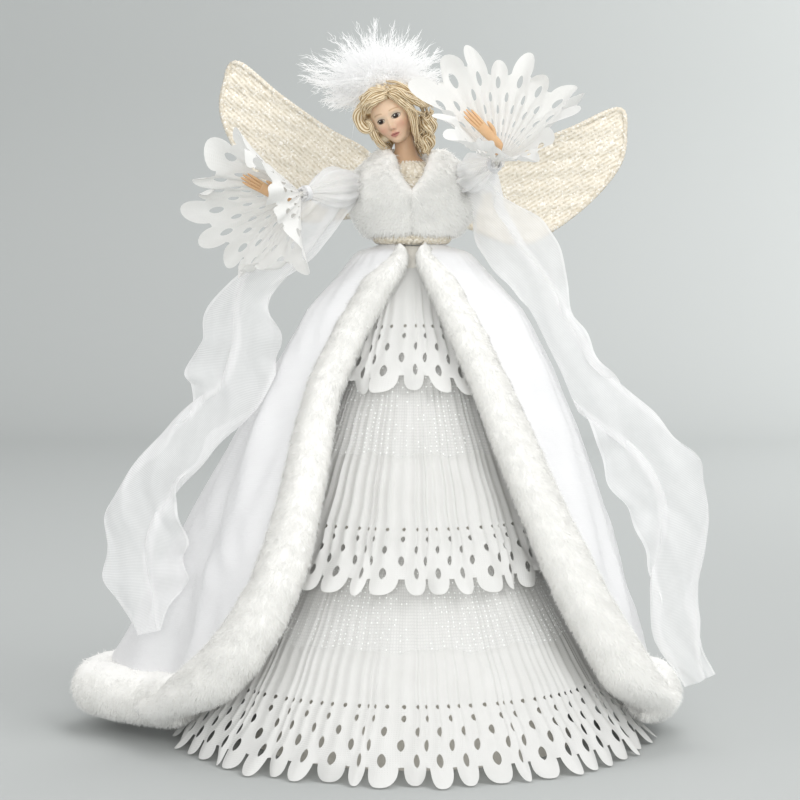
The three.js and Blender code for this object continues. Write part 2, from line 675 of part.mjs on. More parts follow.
// The sleeve's swell, as [distance from the shoulder, radius] pairs
function sleeveStations(arm) {
  const stop = arm.reach - TIE_SETBACK - TIE_LENGTH - SEAT_GAP;
  return SLEEVE_RADII.map((radius, i) => [mix(SLEEVE_START, stop, i / (SLEEVE_RADII.length - 1)), radius]);
}

function sleeveRows(arm, grow) {
  const [u, v] = across(arm.run);
  return sleeveStations(arm).map(
    ([distance, radius]) => ring(onArm(arm, distance), u, v, radius + grow, radius + grow, SLEEVE_SIDES),
  );
}

function wristTie(arm) {
  const [u, v] = across(arm.run);
  const rows = (radius) => [TIE_SETBACK + TIE_LENGTH, TIE_SETBACK].map(
    (back) => ring(onArm(arm, arm.reach - back), u, v, radius, radius, SLEEVE_SIDES),
  );
  return cloth(rows(TIE_RADIUS), rows(ARM_WIRE_RADIUS + SEAT_GAP), true);
}

function cuffBell(arm) {
  const columns = 2 * CUFF_FOLDS;
  const [u, v] = across(arm.cuff);
  const neckRadius = ARM_WIRE_RADIUS + SEAT_GAP;
  const skin = (extra) => Array.from({ length: CUFF_ROWS + 1 }, (_, i) => {
    const share = i / CUFF_ROWS;
    return Array.from({ length: columns }, (_unused, j) => {
      const foldOut = j % 2 === 0;
      const turn = (2 * Math.PI * j) / columns;
      const radius = mix(neckRadius, CUFF_RADIUS, share ** CUFF_BELL) + extra;
      const folded = radius + (foldOut ? CUFF_FOLD_DEPTH * share : 0);
      const short = i === CUFF_ROWS && !foldOut ? CUFF_SCALLOP : 0;
      return onCuff(arm, mix(CUFF_START, CUFF_LENGTH, share) - short)
        .addScaledVector(u, folded * Math.cos(turn))
        .addScaledVector(v, folded * Math.sin(turn));
    });
  });
  return cloth(skin(CUFF_CLOTH), skin(0), true);
}

function handSolid(arm) {
  const start = onCuff(arm, WIRE_END + SEAT_GAP);
  const bend = start.clone().addScaledVector(arm.cuff, HAND_BEND);
  const flat = arm.hand.clone().cross(vector(0, -1, 0)).normalize();
  const section = (middle, way, [wide, thick]) => {
    const u = flat.clone().projectOnPlane(way).normalize();
    return ring(middle, u, way.clone().cross(u), PALM_HALF[0] * wide, PALM_HALF[1] * thick, HAND_SIDES);
  };
  const onHand = (share) => bend.clone().addScaledVector(arm.hand, share * HAND_LENGTH);
  const rings = [
    section(start, arm.cuff, WRIST_SHARES),
    ...HAND_SECTIONS.map(([share, ...sizes]) => section(onHand(share), arm.hand, sizes)),
  ];
  const foot = onHand(THUMB_FROM);
  const tip = foot.clone().addScaledVector(arm.hand, THUMB_LENGTH).addScaledVector(flat, THUMB_SPREAD);
  const thumb = tube(new THREE.LineCurve3(foot, tip), 2, (share) => mix(...THUMB_RADII, share), THUMB_SIDES);
  return solid(loft(rings)).add(solid(thumb));
}

const arms = Object.fromEntries(Object.entries(ARMS).map(([name, plan]) => [name, armPlan(plan)]));

for (const [name, arm] of Object.entries(arms)) {
  add(`${name}_arm_wire`, meshOf(armWire(arm)), WIRE);
  add(`${name}_sleeve`, cloth(sleeveRows(arm, 0), sleeveRows(arm, -SLEEVE_CLOTH), true), ORGANZA);
  add(`${name}_wrist_tie`, wristTie(arm), SILK);
  add(`${name}_cuff`, cuffBell(arm), EYELET);
  add(`${name}_hand`, meshOf(handSolid(arm)), SKIN);
}

// Room that an arm needs as it swings about the shoulder, front to back
function armRoom(name) {
  const arm = arms[name];
  const [u, v] = across(arm.run);
  const behind = [-SHOULDER_BALL - SWING_GAP, SHOULDER_BALL];
  const shape = [behind, [SHOULDER_BALL, SHOULDER_BALL], ...sleeveStations(arm)];
  const still = loft(shape.map(([distance, radius]) => {
    const room = (radius + SWING_GAP) / Math.cos(Math.PI / ROOM_SIDES);
    return ring(onArm(arm, distance), u, v, room, room, ROOM_SIDES);
  }));
  return joinAll(SWINGS[name].map((degrees) => {
    const turn = new THREE.Matrix4().makeTranslation(arm.shoulder)
      .multiply(new THREE.Matrix4().makeRotationAxis(vector(0, -arm.side, 0), radians(degrees)))
      .multiply(new THREE.Matrix4().makeTranslation(arm.shoulder.clone().negate()));
    return solid(still.clone().applyMatrix4(turn));
  }));
}

// Stole: a fur jacket in two halves, open in a V at the front
const bodiceSide = SEAT_GAP + BODICE_CLOTH + SEAT_GAP;
const stoleRings = [
  ...STOLE_SHARES.map(([rise, share]) => {
    const pile = bodiceSide + STOLE_PILE * share;
    return torsoRing(rise, pile, pile * STOLE_DEPTH_SHARE, STOLE_SIDES);
  }),
  ...COLLAR_RINGS.map(
    ({ rise, halfWidth, halfDepth }) => flatRing(0, 0, waist + rise, halfWidth, halfDepth, STOLE_SIDES),
  ),
];
const stoleFoot = STOLE_SHARES[0][0];
const stoleTop = COLLAR_RINGS.at(-1).rise;
const risesAboveFoot = torsoWidths.map(([rise]) => rise).filter((rise) => rise > stoleFoot);
const torsoRoomRises = [stoleFoot - 1, ...risesAboveFoot];
const torsoRoom = solid(loft(torsoRoomRises.map((rise) => torsoRing(rise, bodiceSide))));
const collarRoom = [torsoHeight - 1, stoleTop + 1].map(
  (rise) => flatRing(0, 0, waist + rise, PLATE_HALF[0] + SEAT_GAP, PLATE_HALF[1] + SEAT_GAP, STOLE_SIDES),
);
const frontV = new THREE.Shape([
  new THREE.Vector2(0, waist + stoleFoot),
  new THREE.Vector2(STOLE_V_HALF, waist + stoleTop + 1),
  new THREE.Vector2(-STOLE_V_HALF, waist + stoleTop + 1),
]);
const vDepth = 4 * STOLE_PILE;
const vCut = new THREE.ExtrudeGeometry(frontV, { depth: vDepth, bevelEnabled: false });
vCut.rotateX(Math.PI / 2);
const stoleBlank = solid(loft(stoleRings))
  .subtract(torsoRoom)
  .subtract(solid(loft(collarRoom)))
  .subtract(solid(vCut));

for (const [name, arm] of Object.entries(arms)) {
  const span = 200;
  const half = new THREE.BoxGeometry(span, span, 2 * span);
  half.translate(arm.side * (span / 2 + SEAT_GAP / 2), 0, waist);
  add(`fur_stole_${name}`, meshOf(largest(stoleBlank.intersect(solid(half)).subtract(armRoom(name)))), FUR);
}

// Streamers: creased strips that hang from the sleeves clear of the coat
function clearOfCoat(spot) {
  const angle = THREE.MathUtils.radToDeg(Math.atan2(spot.x, -spot.y));
  const radius = Math.hypot(spot.x, spot.y);
  const cloths = coatRadius(angle, spot.z) + COAT_CLOTH / 2;
  const fur = coatRadius(angle, HEM_FUR_HEIGHT) + HEM_FUR_RADIUS;
  const inside = Math.abs(angle) < opening(spot.z, angle);
  const outside = spot.z > coatTop || inside ? 0 : spot.z > coatFoot ? cloths : fur;
  const grow = Math.max(1, (outside + STREAMER_CLEAR) / radius);
  return vector(spot.x * grow, spot.y * grow, spot.z);
}

function streamer(name) {
  const arm = arms[name];
  const hung = STREAMERS[name].map(([radius, angle, z]) => around(radius, arm.side * angle, z));
  const curve = new THREE.CatmullRomCurve3([onArm(arm, arm.reach / 2), ...hung]);
  const rows = [];
  for (let i = 0; i <= STREAMER_STEPS; i += 1) {
    const share = i / STREAMER_STEPS;
    const way = curve.getTangentAt(share);
    const wide = way.clone().cross(vector(0, -1, 0)).normalize();
    const face = wide.clone().cross(way).normalize();
    const gathered = mix(STREAMER_TOP_SHARE, 1, smooth(share, 0, STREAMER_FULL_AT));
    const full = gathered * mix(1, STREAMER_TIP_SHARE, smooth(share, STREAMER_TAPER_AT, 1));
    rows.push(Array.from({ length: STREAMER_PLEATS + 1 }, (_, j) => {
      const side = (2 * j) / STREAMER_PLEATS - 1;
      const crease = STREAMER_CREASE * (j % 2 === 0 ? -1 : 1) * full;
      const spot = curve.getPointAt(share).addScaledVector(wide, side * full * STREAMER_HALF_WIDTH);
      return [clearOfCoat(spot.clone().addScaledVector(face, crease)), face];
    }));
  }
  const shifted = (offset) => ([spot, face]) => spot.clone().addScaledVector(face, offset);
  const skin = (offset) => rows.map((row) => row.map(shifted(offset)));
  const strip = solid(cloth(skin(STREAMER_CLOTH / 2), skin(-STREAMER_CLOTH / 2), false));
  return largest(strip.subtract(solid(loft(sleeveRows(arm, SEAT_GAP)))));
}

add('left_streamer', meshOf(streamer('left')), ORGANZA);
add('right_streamer', meshOf(streamer('right')), ORGANZA);

// Wings on a patch sewn to the back of the stole
const stoleBack = Math.max(...stoleRings.flat().map((spot) => spot.y));
const patchMiddle = stoleBack + SEAT_GAP + PATCH_SIZE[1] / 2;
const patch = new THREE.BoxGeometry(...PATCH_SIZE);
add('wing_patch', patch, LACE).position.set(0, patchMiddle, waist + WING_ROOT_RISE);
const wingRootY = patchMiddle + PATCH_SIZE[1] / 2 + SEAT_GAP + WING_WIRE_RADIUS;

for (const [name, arm] of Object.entries(arms)) {
  const wing = new THREE.Group();
  wing.position.set(arm.side * WING_ROOT_X, wingRootY, waist + WING_ROOT_RISE);
  wing.rotation.set(0, -arm.side * radians(WING_RISE[name]), arm.side * radians(WING_SWEEP), 'ZYX');
  topper.add(wing);
  const loop = new THREE.CatmullRomCurve3(WING_OUTLINE.map(([x, z]) => vector(arm.side * x, 0, z)), true);
  add(`${name}_wing_wire`, tube(loop, WING_STEPS, () => WING_WIRE_RADIUS, 5, true), WIRE, wing);
  const inset = WING_WIRE_RADIUS + SEAT_GAP;
  const edge = Array.from({ length: WING_STEPS }, (_, i) => {
    const way = loop.getTangentAt(i / WING_STEPS);
    const inward = vector(arm.side * way.z, 0, -arm.side * way.x).normalize();
    const spot = loop.getPointAt(i / WING_STEPS).addScaledVector(inward, inset);
    return new THREE.Vector2(spot.x, spot.z);
  });
  const lace = new THREE.ExtrudeGeometry(new THREE.Shape(edge), { depth: WING_CLOTH, bevelEnabled: false });
  lace.rotateX(Math.PI / 2);
  lace.translate(0, WING_CLOTH / 2, 0);
  add(`${name}_wing`, lace, LACE, wing);
}

export default topper;
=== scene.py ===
# %% [markdown]
# # Dressing an angel tree topper
#
# The topper is a small resin doll on a hollow cone that goes over the tip of a tree. The gown has tiers of
# pleated eyelet cotton and bead net, the coat is satin with fur edges, and the arms and wings bend on wires.
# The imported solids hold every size, joint and place. This lesson makes the looks around them: each soft
# solid gives way to a piece of cloth, fur, feather or painted resin that keeps its place and its body.

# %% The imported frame
import json
import math

import bmesh
import bpy
import numpy as np
from mathutils import Matrix, Vector
from mathutils.bvhtree import BVHTree
from mathutils.geometry import delaunay_2d_cdt
from mathutils.kdtree import KDTree


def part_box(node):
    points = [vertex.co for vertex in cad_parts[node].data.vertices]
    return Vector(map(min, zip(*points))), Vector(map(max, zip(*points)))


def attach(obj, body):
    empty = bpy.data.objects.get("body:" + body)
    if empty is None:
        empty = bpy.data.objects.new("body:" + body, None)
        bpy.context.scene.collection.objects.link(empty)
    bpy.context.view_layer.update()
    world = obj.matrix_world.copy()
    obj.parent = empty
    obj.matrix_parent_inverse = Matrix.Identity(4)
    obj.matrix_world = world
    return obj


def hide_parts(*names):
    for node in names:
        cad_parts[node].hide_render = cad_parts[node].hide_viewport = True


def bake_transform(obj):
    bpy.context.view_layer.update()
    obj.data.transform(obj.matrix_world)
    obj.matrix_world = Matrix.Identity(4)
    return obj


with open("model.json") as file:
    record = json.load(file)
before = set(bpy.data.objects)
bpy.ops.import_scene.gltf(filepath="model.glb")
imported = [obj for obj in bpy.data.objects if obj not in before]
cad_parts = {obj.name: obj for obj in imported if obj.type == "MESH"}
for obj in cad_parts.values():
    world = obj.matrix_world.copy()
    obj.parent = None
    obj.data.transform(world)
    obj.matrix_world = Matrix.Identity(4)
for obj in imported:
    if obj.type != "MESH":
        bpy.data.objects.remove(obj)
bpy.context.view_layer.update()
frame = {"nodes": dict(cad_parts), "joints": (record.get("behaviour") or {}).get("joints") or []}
MM = 0.001  # the frame is in metres, and the sizes below are in millimetres

# %% [markdown]
# ## Camera, floor and light
#
# The photograph was taken from about a metre and a half away with a long lens, a little above the waist and
# tipped down by four degrees. The floor curves up into the backdrop, so no line shows behind the doll.
# White cloth shows its folds only in soft light from one side, so a large lamp stands at the upper right,
# with weak ones on the left, in front and above, and an even sky. One more lights the wall on the right.

# %% Functions for colours, nodes and finishes


def linear(hex_colour):
    """An sRGB hex colour as linear red, green, blue and alpha."""
    channels = [int(hex_colour[i:i + 2], 16) / 255 for i in (1, 3, 5)]
    return (*[c / 12.92 if c <= 0.04045 else ((c + 0.055) / 1.055) ** 2.4 for c in channels], 1.0)


def add(tree, kind, inputs=None, **settings):
    """A node with its settings, and with its inputs set to values or linked to other nodes' sockets."""
    made = tree.nodes.new(kind)
    for name, value in settings.items():
        setattr(made, name, value)
    for name, value in (inputs or {}).items():
        if isinstance(value, bpy.types.NodeSocket):
            tree.links.new(value, made.inputs[name])
        else:
            made.inputs[name].default_value = value
    return made


def finish(name, colour, roughness, **sockets):
    """A new material with its shader's plain values. Returns it with its node tree and shader."""
    made = bpy.data.materials.new(name)
    made.use_nodes = True
    shader = made.node_tree.nodes["Principled BSDF"]
    shader.inputs["Base Color"].default_value = linear(colour)
    shader.inputs["Roughness"].default_value = roughness
    for socket, value in sockets.items():
        shader.inputs[socket.replace("_", " ").title().replace("Ior", "IOR")].default_value = value
    print("finish:", name)
    return made, made.node_tree, shader


# %% Camera
CAMERA_PLACE = (-6.8, -1450, 300)
CAMERA_TIP = 4.18  # degrees below the level
LENS = 114.7

lens = bpy.data.cameras.new("camera")
lens.lens = LENS
lens.sensor_width = 36
camera = bpy.data.objects.new("camera", lens)
camera.location = Vector(CAMERA_PLACE) * MM
camera.rotation_euler = (math.radians(90 - CAMERA_TIP), 0, 0)
bpy.context.scene.collection.objects.link(camera)
bpy.context.scene.camera = camera
bpy.context.scene.view_settings.view_transform = "Standard"
print("camera:", LENS, "mm lens,", -CAMERA_PLACE[1], "mm in front of the axis")

# %% Floor and backdrop
FLOOR_HALF = 2600
FLOOR_BACK = 1900
BEND = 500
WALL_TOP = 2600

backdrop_paper = finish("matt_backdrop_paper", "#babdbc", 0.95, specular_ior_level=0.1)[0]

turns = np.linspace(0, math.pi / 2, 13)
profile = [(-FLOOR_HALF, 0.0)]
profile += [(FLOOR_BACK + BEND * math.sin(t), BEND * (1 - math.cos(t))) for t in turns]
profile += [(FLOOR_BACK + BEND, WALL_TOP)]
sweep_points = [(x * MM, y * MM, z * MM) for y, z in profile for x in (-FLOOR_HALF, FLOOR_HALF)]
sweep_faces = [(2 * i, 2 * i + 1, 2 * i + 3, 2 * i + 2) for i in range(len(profile) - 1)]
backdrop_mesh = bpy.data.meshes.new("backdrop")
backdrop_mesh.from_pydata(sweep_points, [], sweep_faces)
backdrop_mesh.materials.append(backdrop_paper)
backdrop_mesh.shade_smooth()
backdrop = bpy.data.objects.new("backdrop", backdrop_mesh)
bpy.context.scene.collection.objects.link(backdrop)
print("backdrop:", len(sweep_faces), "strips")

# %% Lamps and sky
SKY = 0.7
DOLL = (0, 0, 200)
WALL = (800, 2400, 600)
LAMPS = {  # place, aim, size in mm and power in watts
    "key": ((1200, -1200, 1500), DOLL, 1300, 19.0),
    "fill": ((-1500, -1100, 900), DOLL, 1200, 2.8),
    "front": ((-200, -1900, 600), DOLL, 900, 10.5),
    "top": ((200, 500, 1700), DOLL, 900, 6.0),
    "wall": ((1700, 1300, 900), WALL, 1200, 26.0),
}

world = bpy.data.worlds.new("sky")
world.use_nodes = True
world.node_tree.nodes["Background"].inputs["Color"].default_value = (1, 1, 1, 1)
world.node_tree.nodes["Background"].inputs["Strength"].default_value = SKY
bpy.context.scene.world = world
for name, (place, aim, size, power) in LAMPS.items():
    light = bpy.data.lights.new(name, "AREA")
    light.size = size * MM
    light.energy = power
    lamp = bpy.data.objects.new(name, light)
    lamp.location = Vector(place) * MM
    lamp.rotation_euler = (Vector(aim) * MM - lamp.location).to_track_quat("-Z", "Y").to_euler()
    bpy.context.scene.collection.objects.link(lamp)
print("lamps:", len(LAMPS), "and a sky of strength", SKY)

# %% [markdown]
# ## Materials
#
# A finish starts from what the real thing is. Most of this doll is white cloth, so what tells one white
# from another is gloss, weave, pile and how much light comes through. Each finish below keeps its plain
# values on the shader itself and uses nodes only for what changes over the surface. Cloth pieces carry a map
# called cloth, in millimetres along and across the threads, so a weave keeps its real size on any fold.

# %% Steps that finishes share


def cell(size):
    """Scale of a cell or noise pattern in object space, from its size in millimetres."""
    return 1 / (size * MM)


def bands(spacing):
    """Scale of a band pattern on the cloth map, which draws a band each 2 pi / 20 at scale 1."""
    return 2 * math.pi / (20 * spacing)


def surface(tree, shader, share, low, high, height=None, depth=0.0):
    """Colours a surface between two hex colours by a pattern's share, and may give it relief.

    The relief follows a height pattern, with its depth in millimetres.
    """
    colour = add(tree, "ShaderNodeMix", {0: share, 6: linear(low), 7: linear(high)}, data_type="RGBA")
    tree.links.new(colour.outputs[2], shader.inputs["Base Color"])
    if height is not None:
        bump = add(tree, "ShaderNodeBump", {"Height": height, "Distance": depth * MM, "Strength": 1.0})
        tree.links.new(bump.outputs["Normal"], shader.inputs["Normal"])
    return colour.outputs[2]


def glow_through(tree, shader, colour, share):
    """Lets a share of the light through a thin cloth or fibre."""
    through = add(tree, "ShaderNodeBsdfTranslucent", {"Color": linear(colour)})
    both = add(tree, "ShaderNodeMixShader", {0: share, 1: shader.outputs[0], 2: through.outputs[0]})
    tree.links.new(both.outputs[0], tree.nodes["Material Output"].inputs["Surface"])


def veil(tree, cover):
    """Lets the view through a sheer cloth, all but the share that its threads cover."""
    end = tree.nodes["Material Output"].inputs["Surface"]
    cloth = end.links[0].from_socket
    gap = add(tree, "ShaderNodeBsdfTransparent")
    both = add(tree, "ShaderNodeMixShader", {0: cover, 1: gap.outputs[0], 2: cloth})
    tree.links.new(both.outputs[0], end)


# %% Eyelet cotton voile: woven, heat pleated and hot cut
# Matt and bright, with a faint grain. Light comes through it, so the insides of the pleats stay pale.
VOILE_THREAD = 1.1  # the threads are 0.3 mm apart, drawn coarser so that they show
eyelet_voile, tree, shader = finish("eyelet_cotton_voile", "#f4f4f2", 0.85, sheen_weight=0.15)
on_cloth = add(tree, "ShaderNodeUVMap", uv_map="cloth").outputs["UV"]
on_piece = add(tree, "ShaderNodeTexCoord").outputs["Object"]
threads = {"Vector": on_cloth, "Scale": bands(VOILE_THREAD)}
warp = add(tree, "ShaderNodeTexWave", threads)
weft = add(tree, "ShaderNodeTexWave", threads, bands_direction="Y")
weave = add(tree, "ShaderNodeMath", {0: warp.outputs["Fac"], 1: weft.outputs["Fac"]}, operation="MULTIPLY")
cloudy = add(tree, "ShaderNodeTexNoise", {"Vector": on_piece, "Scale": cell(14), "Detail": 3.0})
surface(tree, shader, cloudy.outputs["Fac"], "#e2e2df", "#eeeeec", weave.outputs[0], 0.06)
glow_through(tree, shader, "#f6f5f2", 0.2)

# %% Bead net: nylon tulle, knotted
# A sheer mesh that whitens what is behind it, with a faint shine on its threads.
NET_MESH = 1.6  # real meshes are 1 mm wide, drawn coarser so that they show
bead_net, tree, shader = finish("nylon_tulle_net", "#f6f6f6", 0.5)
on_cloth = add(tree, "ShaderNodeUVMap", uv_map="cloth").outputs["UV"]
threads = {"Vector": on_cloth, "Scale": bands(NET_MESH)}
along = add(tree, "ShaderNodeTexWave", threads)
up = add(tree, "ShaderNodeTexWave", threads, bands_direction="Y")
thread = add(tree, "ShaderNodeMath", {0: along.outputs["Fac"], 1: up.outputs["Fac"]}, operation="MAXIMUM")
ranges = {"Value": thread.outputs[0], "From Min": 0.7, "To Min": 0.1, "To Max": 0.2}
sheer = add(tree, "ShaderNodeMapRange", ranges)
glow_through(tree, shader, "#fbfbfb", 0.4)
veil(tree, sheer.outputs[0])

# %% Clear sequins: pressed film with a rainbow coat
# Tiny hard glints. The thin film gives the faint green and pink that the net shows in the photograph.
sequin_film, tree, shader = finish(
    "pressed_sequin_film", "#fbfcfb", 0.3, thin_film_thickness=420.0, thin_film_ior=1.4, coat_weight=0.2
)
on_piece = add(tree, "ShaderNodeTexCoord").outputs["Object"]
spark = add(tree, "ShaderNodeTexVoronoi", {"Vector": on_piece, "Scale": cell(2.2)})
surface(tree, shader, spark.outputs["Color"], "#fbfdfc", "#ffffff")

# %% Coat satin: woven polyester with a brushed face
# Smooth with a low broad shine, and long soft folds. A fine cross grain keeps it from looking like plastic.
SATIN_THREAD = 1.3  # real threads are 0.1 mm apart, drawn coarser so that they show
coat_satin, tree, shader = finish("brushed_satin", "#f5f5f6", 0.5, sheen_weight=0.3, sheen_roughness=0.4)
on_cloth = add(tree, "ShaderNodeUVMap", uv_map="cloth").outputs["UV"]
on_piece = add(tree, "ShaderNodeTexCoord").outputs["Object"]
threads = {"Vector": on_cloth, "Scale": bands(SATIN_THREAD), "Distortion": 1.5, "Detail": 2.0}
grain = add(tree, "ShaderNodeTexWave", threads, bands_direction="Y")
crease_and_shade = add(tree, "ShaderNodeTexNoise", {"Vector": on_piece, "Scale": cell(22), "Detail": 4.0})
layers = {0: crease_and_shade.outputs["Fac"], 1: 8.0, 2: grain.outputs["Fac"]}
both = add(tree, "ShaderNodeMath", layers, operation="MULTIPLY_ADD")
# The crease pattern also paints shade into the colour: a little darker where it sinks, lighter where it
# rises.
surface(tree, shader, crease_and_shade.outputs["Fac"], "#f0f0f1", "#f9f9fa", both.outputs[0], 0.05)
glow_through(tree, shader, "#f7f7f7", 0.15)

# %% Faux fur and marabou: fibres, a little darker at the root
# Each fibre is real mesh, so the finish only says that it is matt, whiter at its tip and lets light through.
# The backing under the fibres lets none through.


def fibre(name, root, tip, through):
    """Fibres with one colour at the root and one at the tip, which let a share of the light through."""
    made, tree, shader = finish(name, tip, 0.8, sheen_weight=0.2)
    share = add(tree, "ShaderNodeAttribute", attribute_name="shade")
    surface(tree, shader, share.outputs["Fac"], root, tip)
    if through:
        glow_through(tree, shader, tip, through)
    return made


fur_backing = fibre("acrylic_fur_backing", "#fbfaf7", "#fefefd", 0.0)
faux_fur = fibre("acrylic_faux_fur", "#fbfaf7", "#fefefd", 0.5)
down_core = fibre("marabou_core", "#fdfdfd", "#fefefe", 0.0)
marabou = fibre("marabou_down", "#fdfdfd", "#fefefe", 0.5)

# %% Organza: sheer crinkled nylon
# A third of what is behind shows through. Fine ribs run across it, every fold doubles the white, and so does
# the rolled hem, which the mesh marks as its shade.
ORGANZA_RIB = 0.8  # real threads are 0.15 mm apart, drawn as the crinkle ribs that show
organza, tree, shader = finish("crinkled_organza", "#fbfbfb", 0.45, sheen_weight=0.4)
on_cloth = add(tree, "ShaderNodeUVMap", uv_map="cloth").outputs["UV"]
on_piece = add(tree, "ShaderNodeTexCoord").outputs["Object"]
ribs = {"Vector": on_cloth, "Scale": bands(ORGANZA_RIB), "Distortion": 2.0, "Detail": 2.0}
ribs["Detail Scale"] = 0.4
rib = add(tree, "ShaderNodeTexWave", ribs, bands_direction="Y")
mist = add(tree, "ShaderNodeTexNoise", {"Vector": on_piece, "Scale": cell(9), "Detail": 3.0})
crinkle = add(tree, "ShaderNodeMath", {0: rib.outputs["Fac"], 1: mist.outputs["Fac"]}, operation="MULTIPLY")
ranges = {"Value": crinkle.outputs[0], "From Max": 0.6, "To Min": 0.58, "To Max": 0.7}
sheer = add(tree, "ShaderNodeMapRange", ranges)
bump = add(tree, "ShaderNodeBump", {"Height": rib.outputs["Fac"], "Distance": 0.03 * MM, "Strength": 1.0})
tree.links.new(bump.outputs["Normal"], shader.inputs["Normal"])
glow_through(tree, shader, "#fcfcfc", 0.4)
hem = add(tree, "ShaderNodeAttribute", attribute_name="shade")
cover = add(tree, "ShaderNodeMath", {0: sheer.outputs[0], 1: hem.outputs["Fac"]}, operation="MAXIMUM")
veil(tree, cover.outputs[0])

# %% Cream lace: embroidered cotton with glitter dust
# Warm and pebbled, pale on the knots and tan between them, where the tan is painted shade, with
# scattered glints whose pale colour is a painted highlight.
KNOT = 1.8
GLITTER = 0.9
GLITTER_FROM = 0.9  # flakes whose chance lies above this are bright
WING_ROW = 2.2  # crochet rows, as far apart as they look in the photograph


def lace_finish(name, gap, knot, glint, rows=0.0):
    """Lace with painted shade between its knots, painted glints, and crochet rows so many millimetres apart
    if given.
    """
    made, tree, shader = finish(name, knot, 0.6, sheen_weight=0.1)
    on_piece = add(tree, "ShaderNodeTexCoord").outputs["Object"]
    knots = add(tree, "ShaderNodeTexVoronoi", {"Vector": on_piece, "Scale": cell(KNOT)})
    ranges = {"Value": knots.outputs["Distance"], "From Min": 0.15, "From Max": 0.75}
    height = add(tree, "ShaderNodeMapRange", ranges).outputs[0]
    if rows:
        on_cloth = add(tree, "ShaderNodeUVMap", uv_map="cloth").outputs["UV"]
        hooked = {"Vector": on_cloth, "Scale": bands(rows), "Distortion": 1.5, "Detail": 1.0}
        row = add(tree, "ShaderNodeTexWave", hooked, bands_direction="Y")
        both = {0: height, 1: row.outputs["Fac"]}
        height = add(tree, "ShaderNodeMath", both, operation="MULTIPLY").outputs[0]
    # The gap colour is painted shade: it darkens the hollows between the knots, where the relief sinks.
    base = surface(tree, shader, height, knot, gap, height, -0.3)
    # The glint colour is a painted highlight on the glitter flakes. Their low roughness below is their own
    # shine.
    flakes = add(tree, "ShaderNodeTexVoronoi", {"Vector": on_piece, "Scale": cell(GLITTER)})
    bright = add(tree, "ShaderNodeSeparateColor", {"Color": flakes.outputs["Color"]})
    chosen = add(tree, "ShaderNodeMath", {0: bright.outputs[0], 1: GLITTER_FROM}, operation="GREATER_THAN")
    dusted = {0: chosen.outputs[0], 6: base, 7: linear(glint)}
    mixed = add(tree, "ShaderNodeMix", dusted, data_type="RGBA")
    tree.links.new(mixed.outputs[2], shader.inputs["Base Color"])
    shine = add(tree, "ShaderNodeMapRange", {"Value": chosen.outputs[0], "To Min": 0.75, "To Max": 0.2})
    tree.links.new(shine.outputs[0], shader.inputs["Roughness"])
    return made


cream_lace = lace_finish("cream_embroidered_lace", "#ded4c0", "#f3ecdd", "#fffaf0")
wing_lace = lace_finish("crocheted_wing_lace", "#d9ceb8", "#f1eadb", "#fffaf0", WING_ROW)
edge_cord = lace_finish("pale_bound_edge", "#ded4c0", "#f6f0e3", "#fffdf6")

# %% Painted resin: cast, hand painted and matt sealed
# Skin is smooth and slightly waxy. The paint itself is stored on the mesh, so that lids, lips and blush sit
# where the features are.
skin_resin, tree, shader = finish("painted_skin_resin", "#dcb797", 0.5, subsurface_weight=0.12)
shader.inputs["Subsurface Radius"].default_value = (1.2 * MM, 0.5 * MM, 0.3 * MM)
shader.inputs["Subsurface Scale"].default_value = 1.0
on_piece = add(tree, "ShaderNodeTexCoord").outputs["Object"]
paint = add(tree, "ShaderNodeAttribute", attribute_name="paint")
mottle = add(tree, "ShaderNodeTexNoise", {"Vector": on_piece, "Scale": cell(3), "Detail": 3.0})
soft = add(tree, "ShaderNodeMapRange", {"Value": mottle.outputs["Fac"], "To Min": 0.94, "To Max": 1.06})
layers = {0: 1.0, 6: paint.outputs["Color"], 7: soft.outputs[0]}
tone = add(tree, "ShaderNodeMix", layers, data_type="RGBA", blend_type="MULTIPLY")
tree.links.new(tone.outputs[2], shader.inputs["Base Color"])

# %% Painted hair: painted shade in the grooves and painted highlights on the ridges
# The shade follows the ridges of the mesh: the grooves between the locks are painted darker and the ridges
# paler.
hair_resin, tree, shader = finish("painted_hair_resin", "#c7a56c", 0.42, coat_weight=0.15)
on_piece = add(tree, "ShaderNodeTexCoord").outputs["Object"]
groove_shade = add(tree, "ShaderNodeAttribute", attribute_name="shade")
streak = add(tree, "ShaderNodeTexNoise", {"Vector": on_piece, "Scale": cell(2.5), "Detail": 3.0})
layers = {0: streak.outputs["Fac"], 1: 0.5, 2: groove_shade.outputs["Fac"]}
streak_and_groove_shade = add(tree, "ShaderNodeMath", layers, operation="MULTIPLY_ADD")
ramp = add(tree, "ShaderNodeValToRGB", {"Fac": streak_and_groove_shade.outputs[0]})
# Dark brown is painted shade in the grooves, and the pale end is a painted highlight on the ridges.
ramp.color_ramp.elements[0].position = 0.15
ramp.color_ramp.elements[0].color = linear("#6e5231")
ramp.color_ramp.elements[1].color = linear("#ecdfc3")
ramp.color_ramp.elements.new(0.6).color = linear("#c0a272")
tree.links.new(ramp.outputs["Color"], shader.inputs["Base Color"])

# %% Hidden pieces: wrapped wire, lined card and foam
# The wire is wound with white thread and the card shows fibres. The foam shows its moulded beads, with
# painted shade in the gaps between them.
WRAP = 0.8
wrapped_wire, tree, shader = finish("thread_wrapped_wire", "#e9e7e1", 0.6)
on_piece = add(tree, "ShaderNodeTexCoord").outputs["Object"]
turns = {"Vector": on_piece, "Scale": bands(WRAP * MM)}
wound = add(tree, "ShaderNodeTexWave", turns, bands_direction="DIAGONAL").outputs["Fac"]
surface(tree, shader, wound, "#cfccc4", "#f0eeea", wound, 0.15)

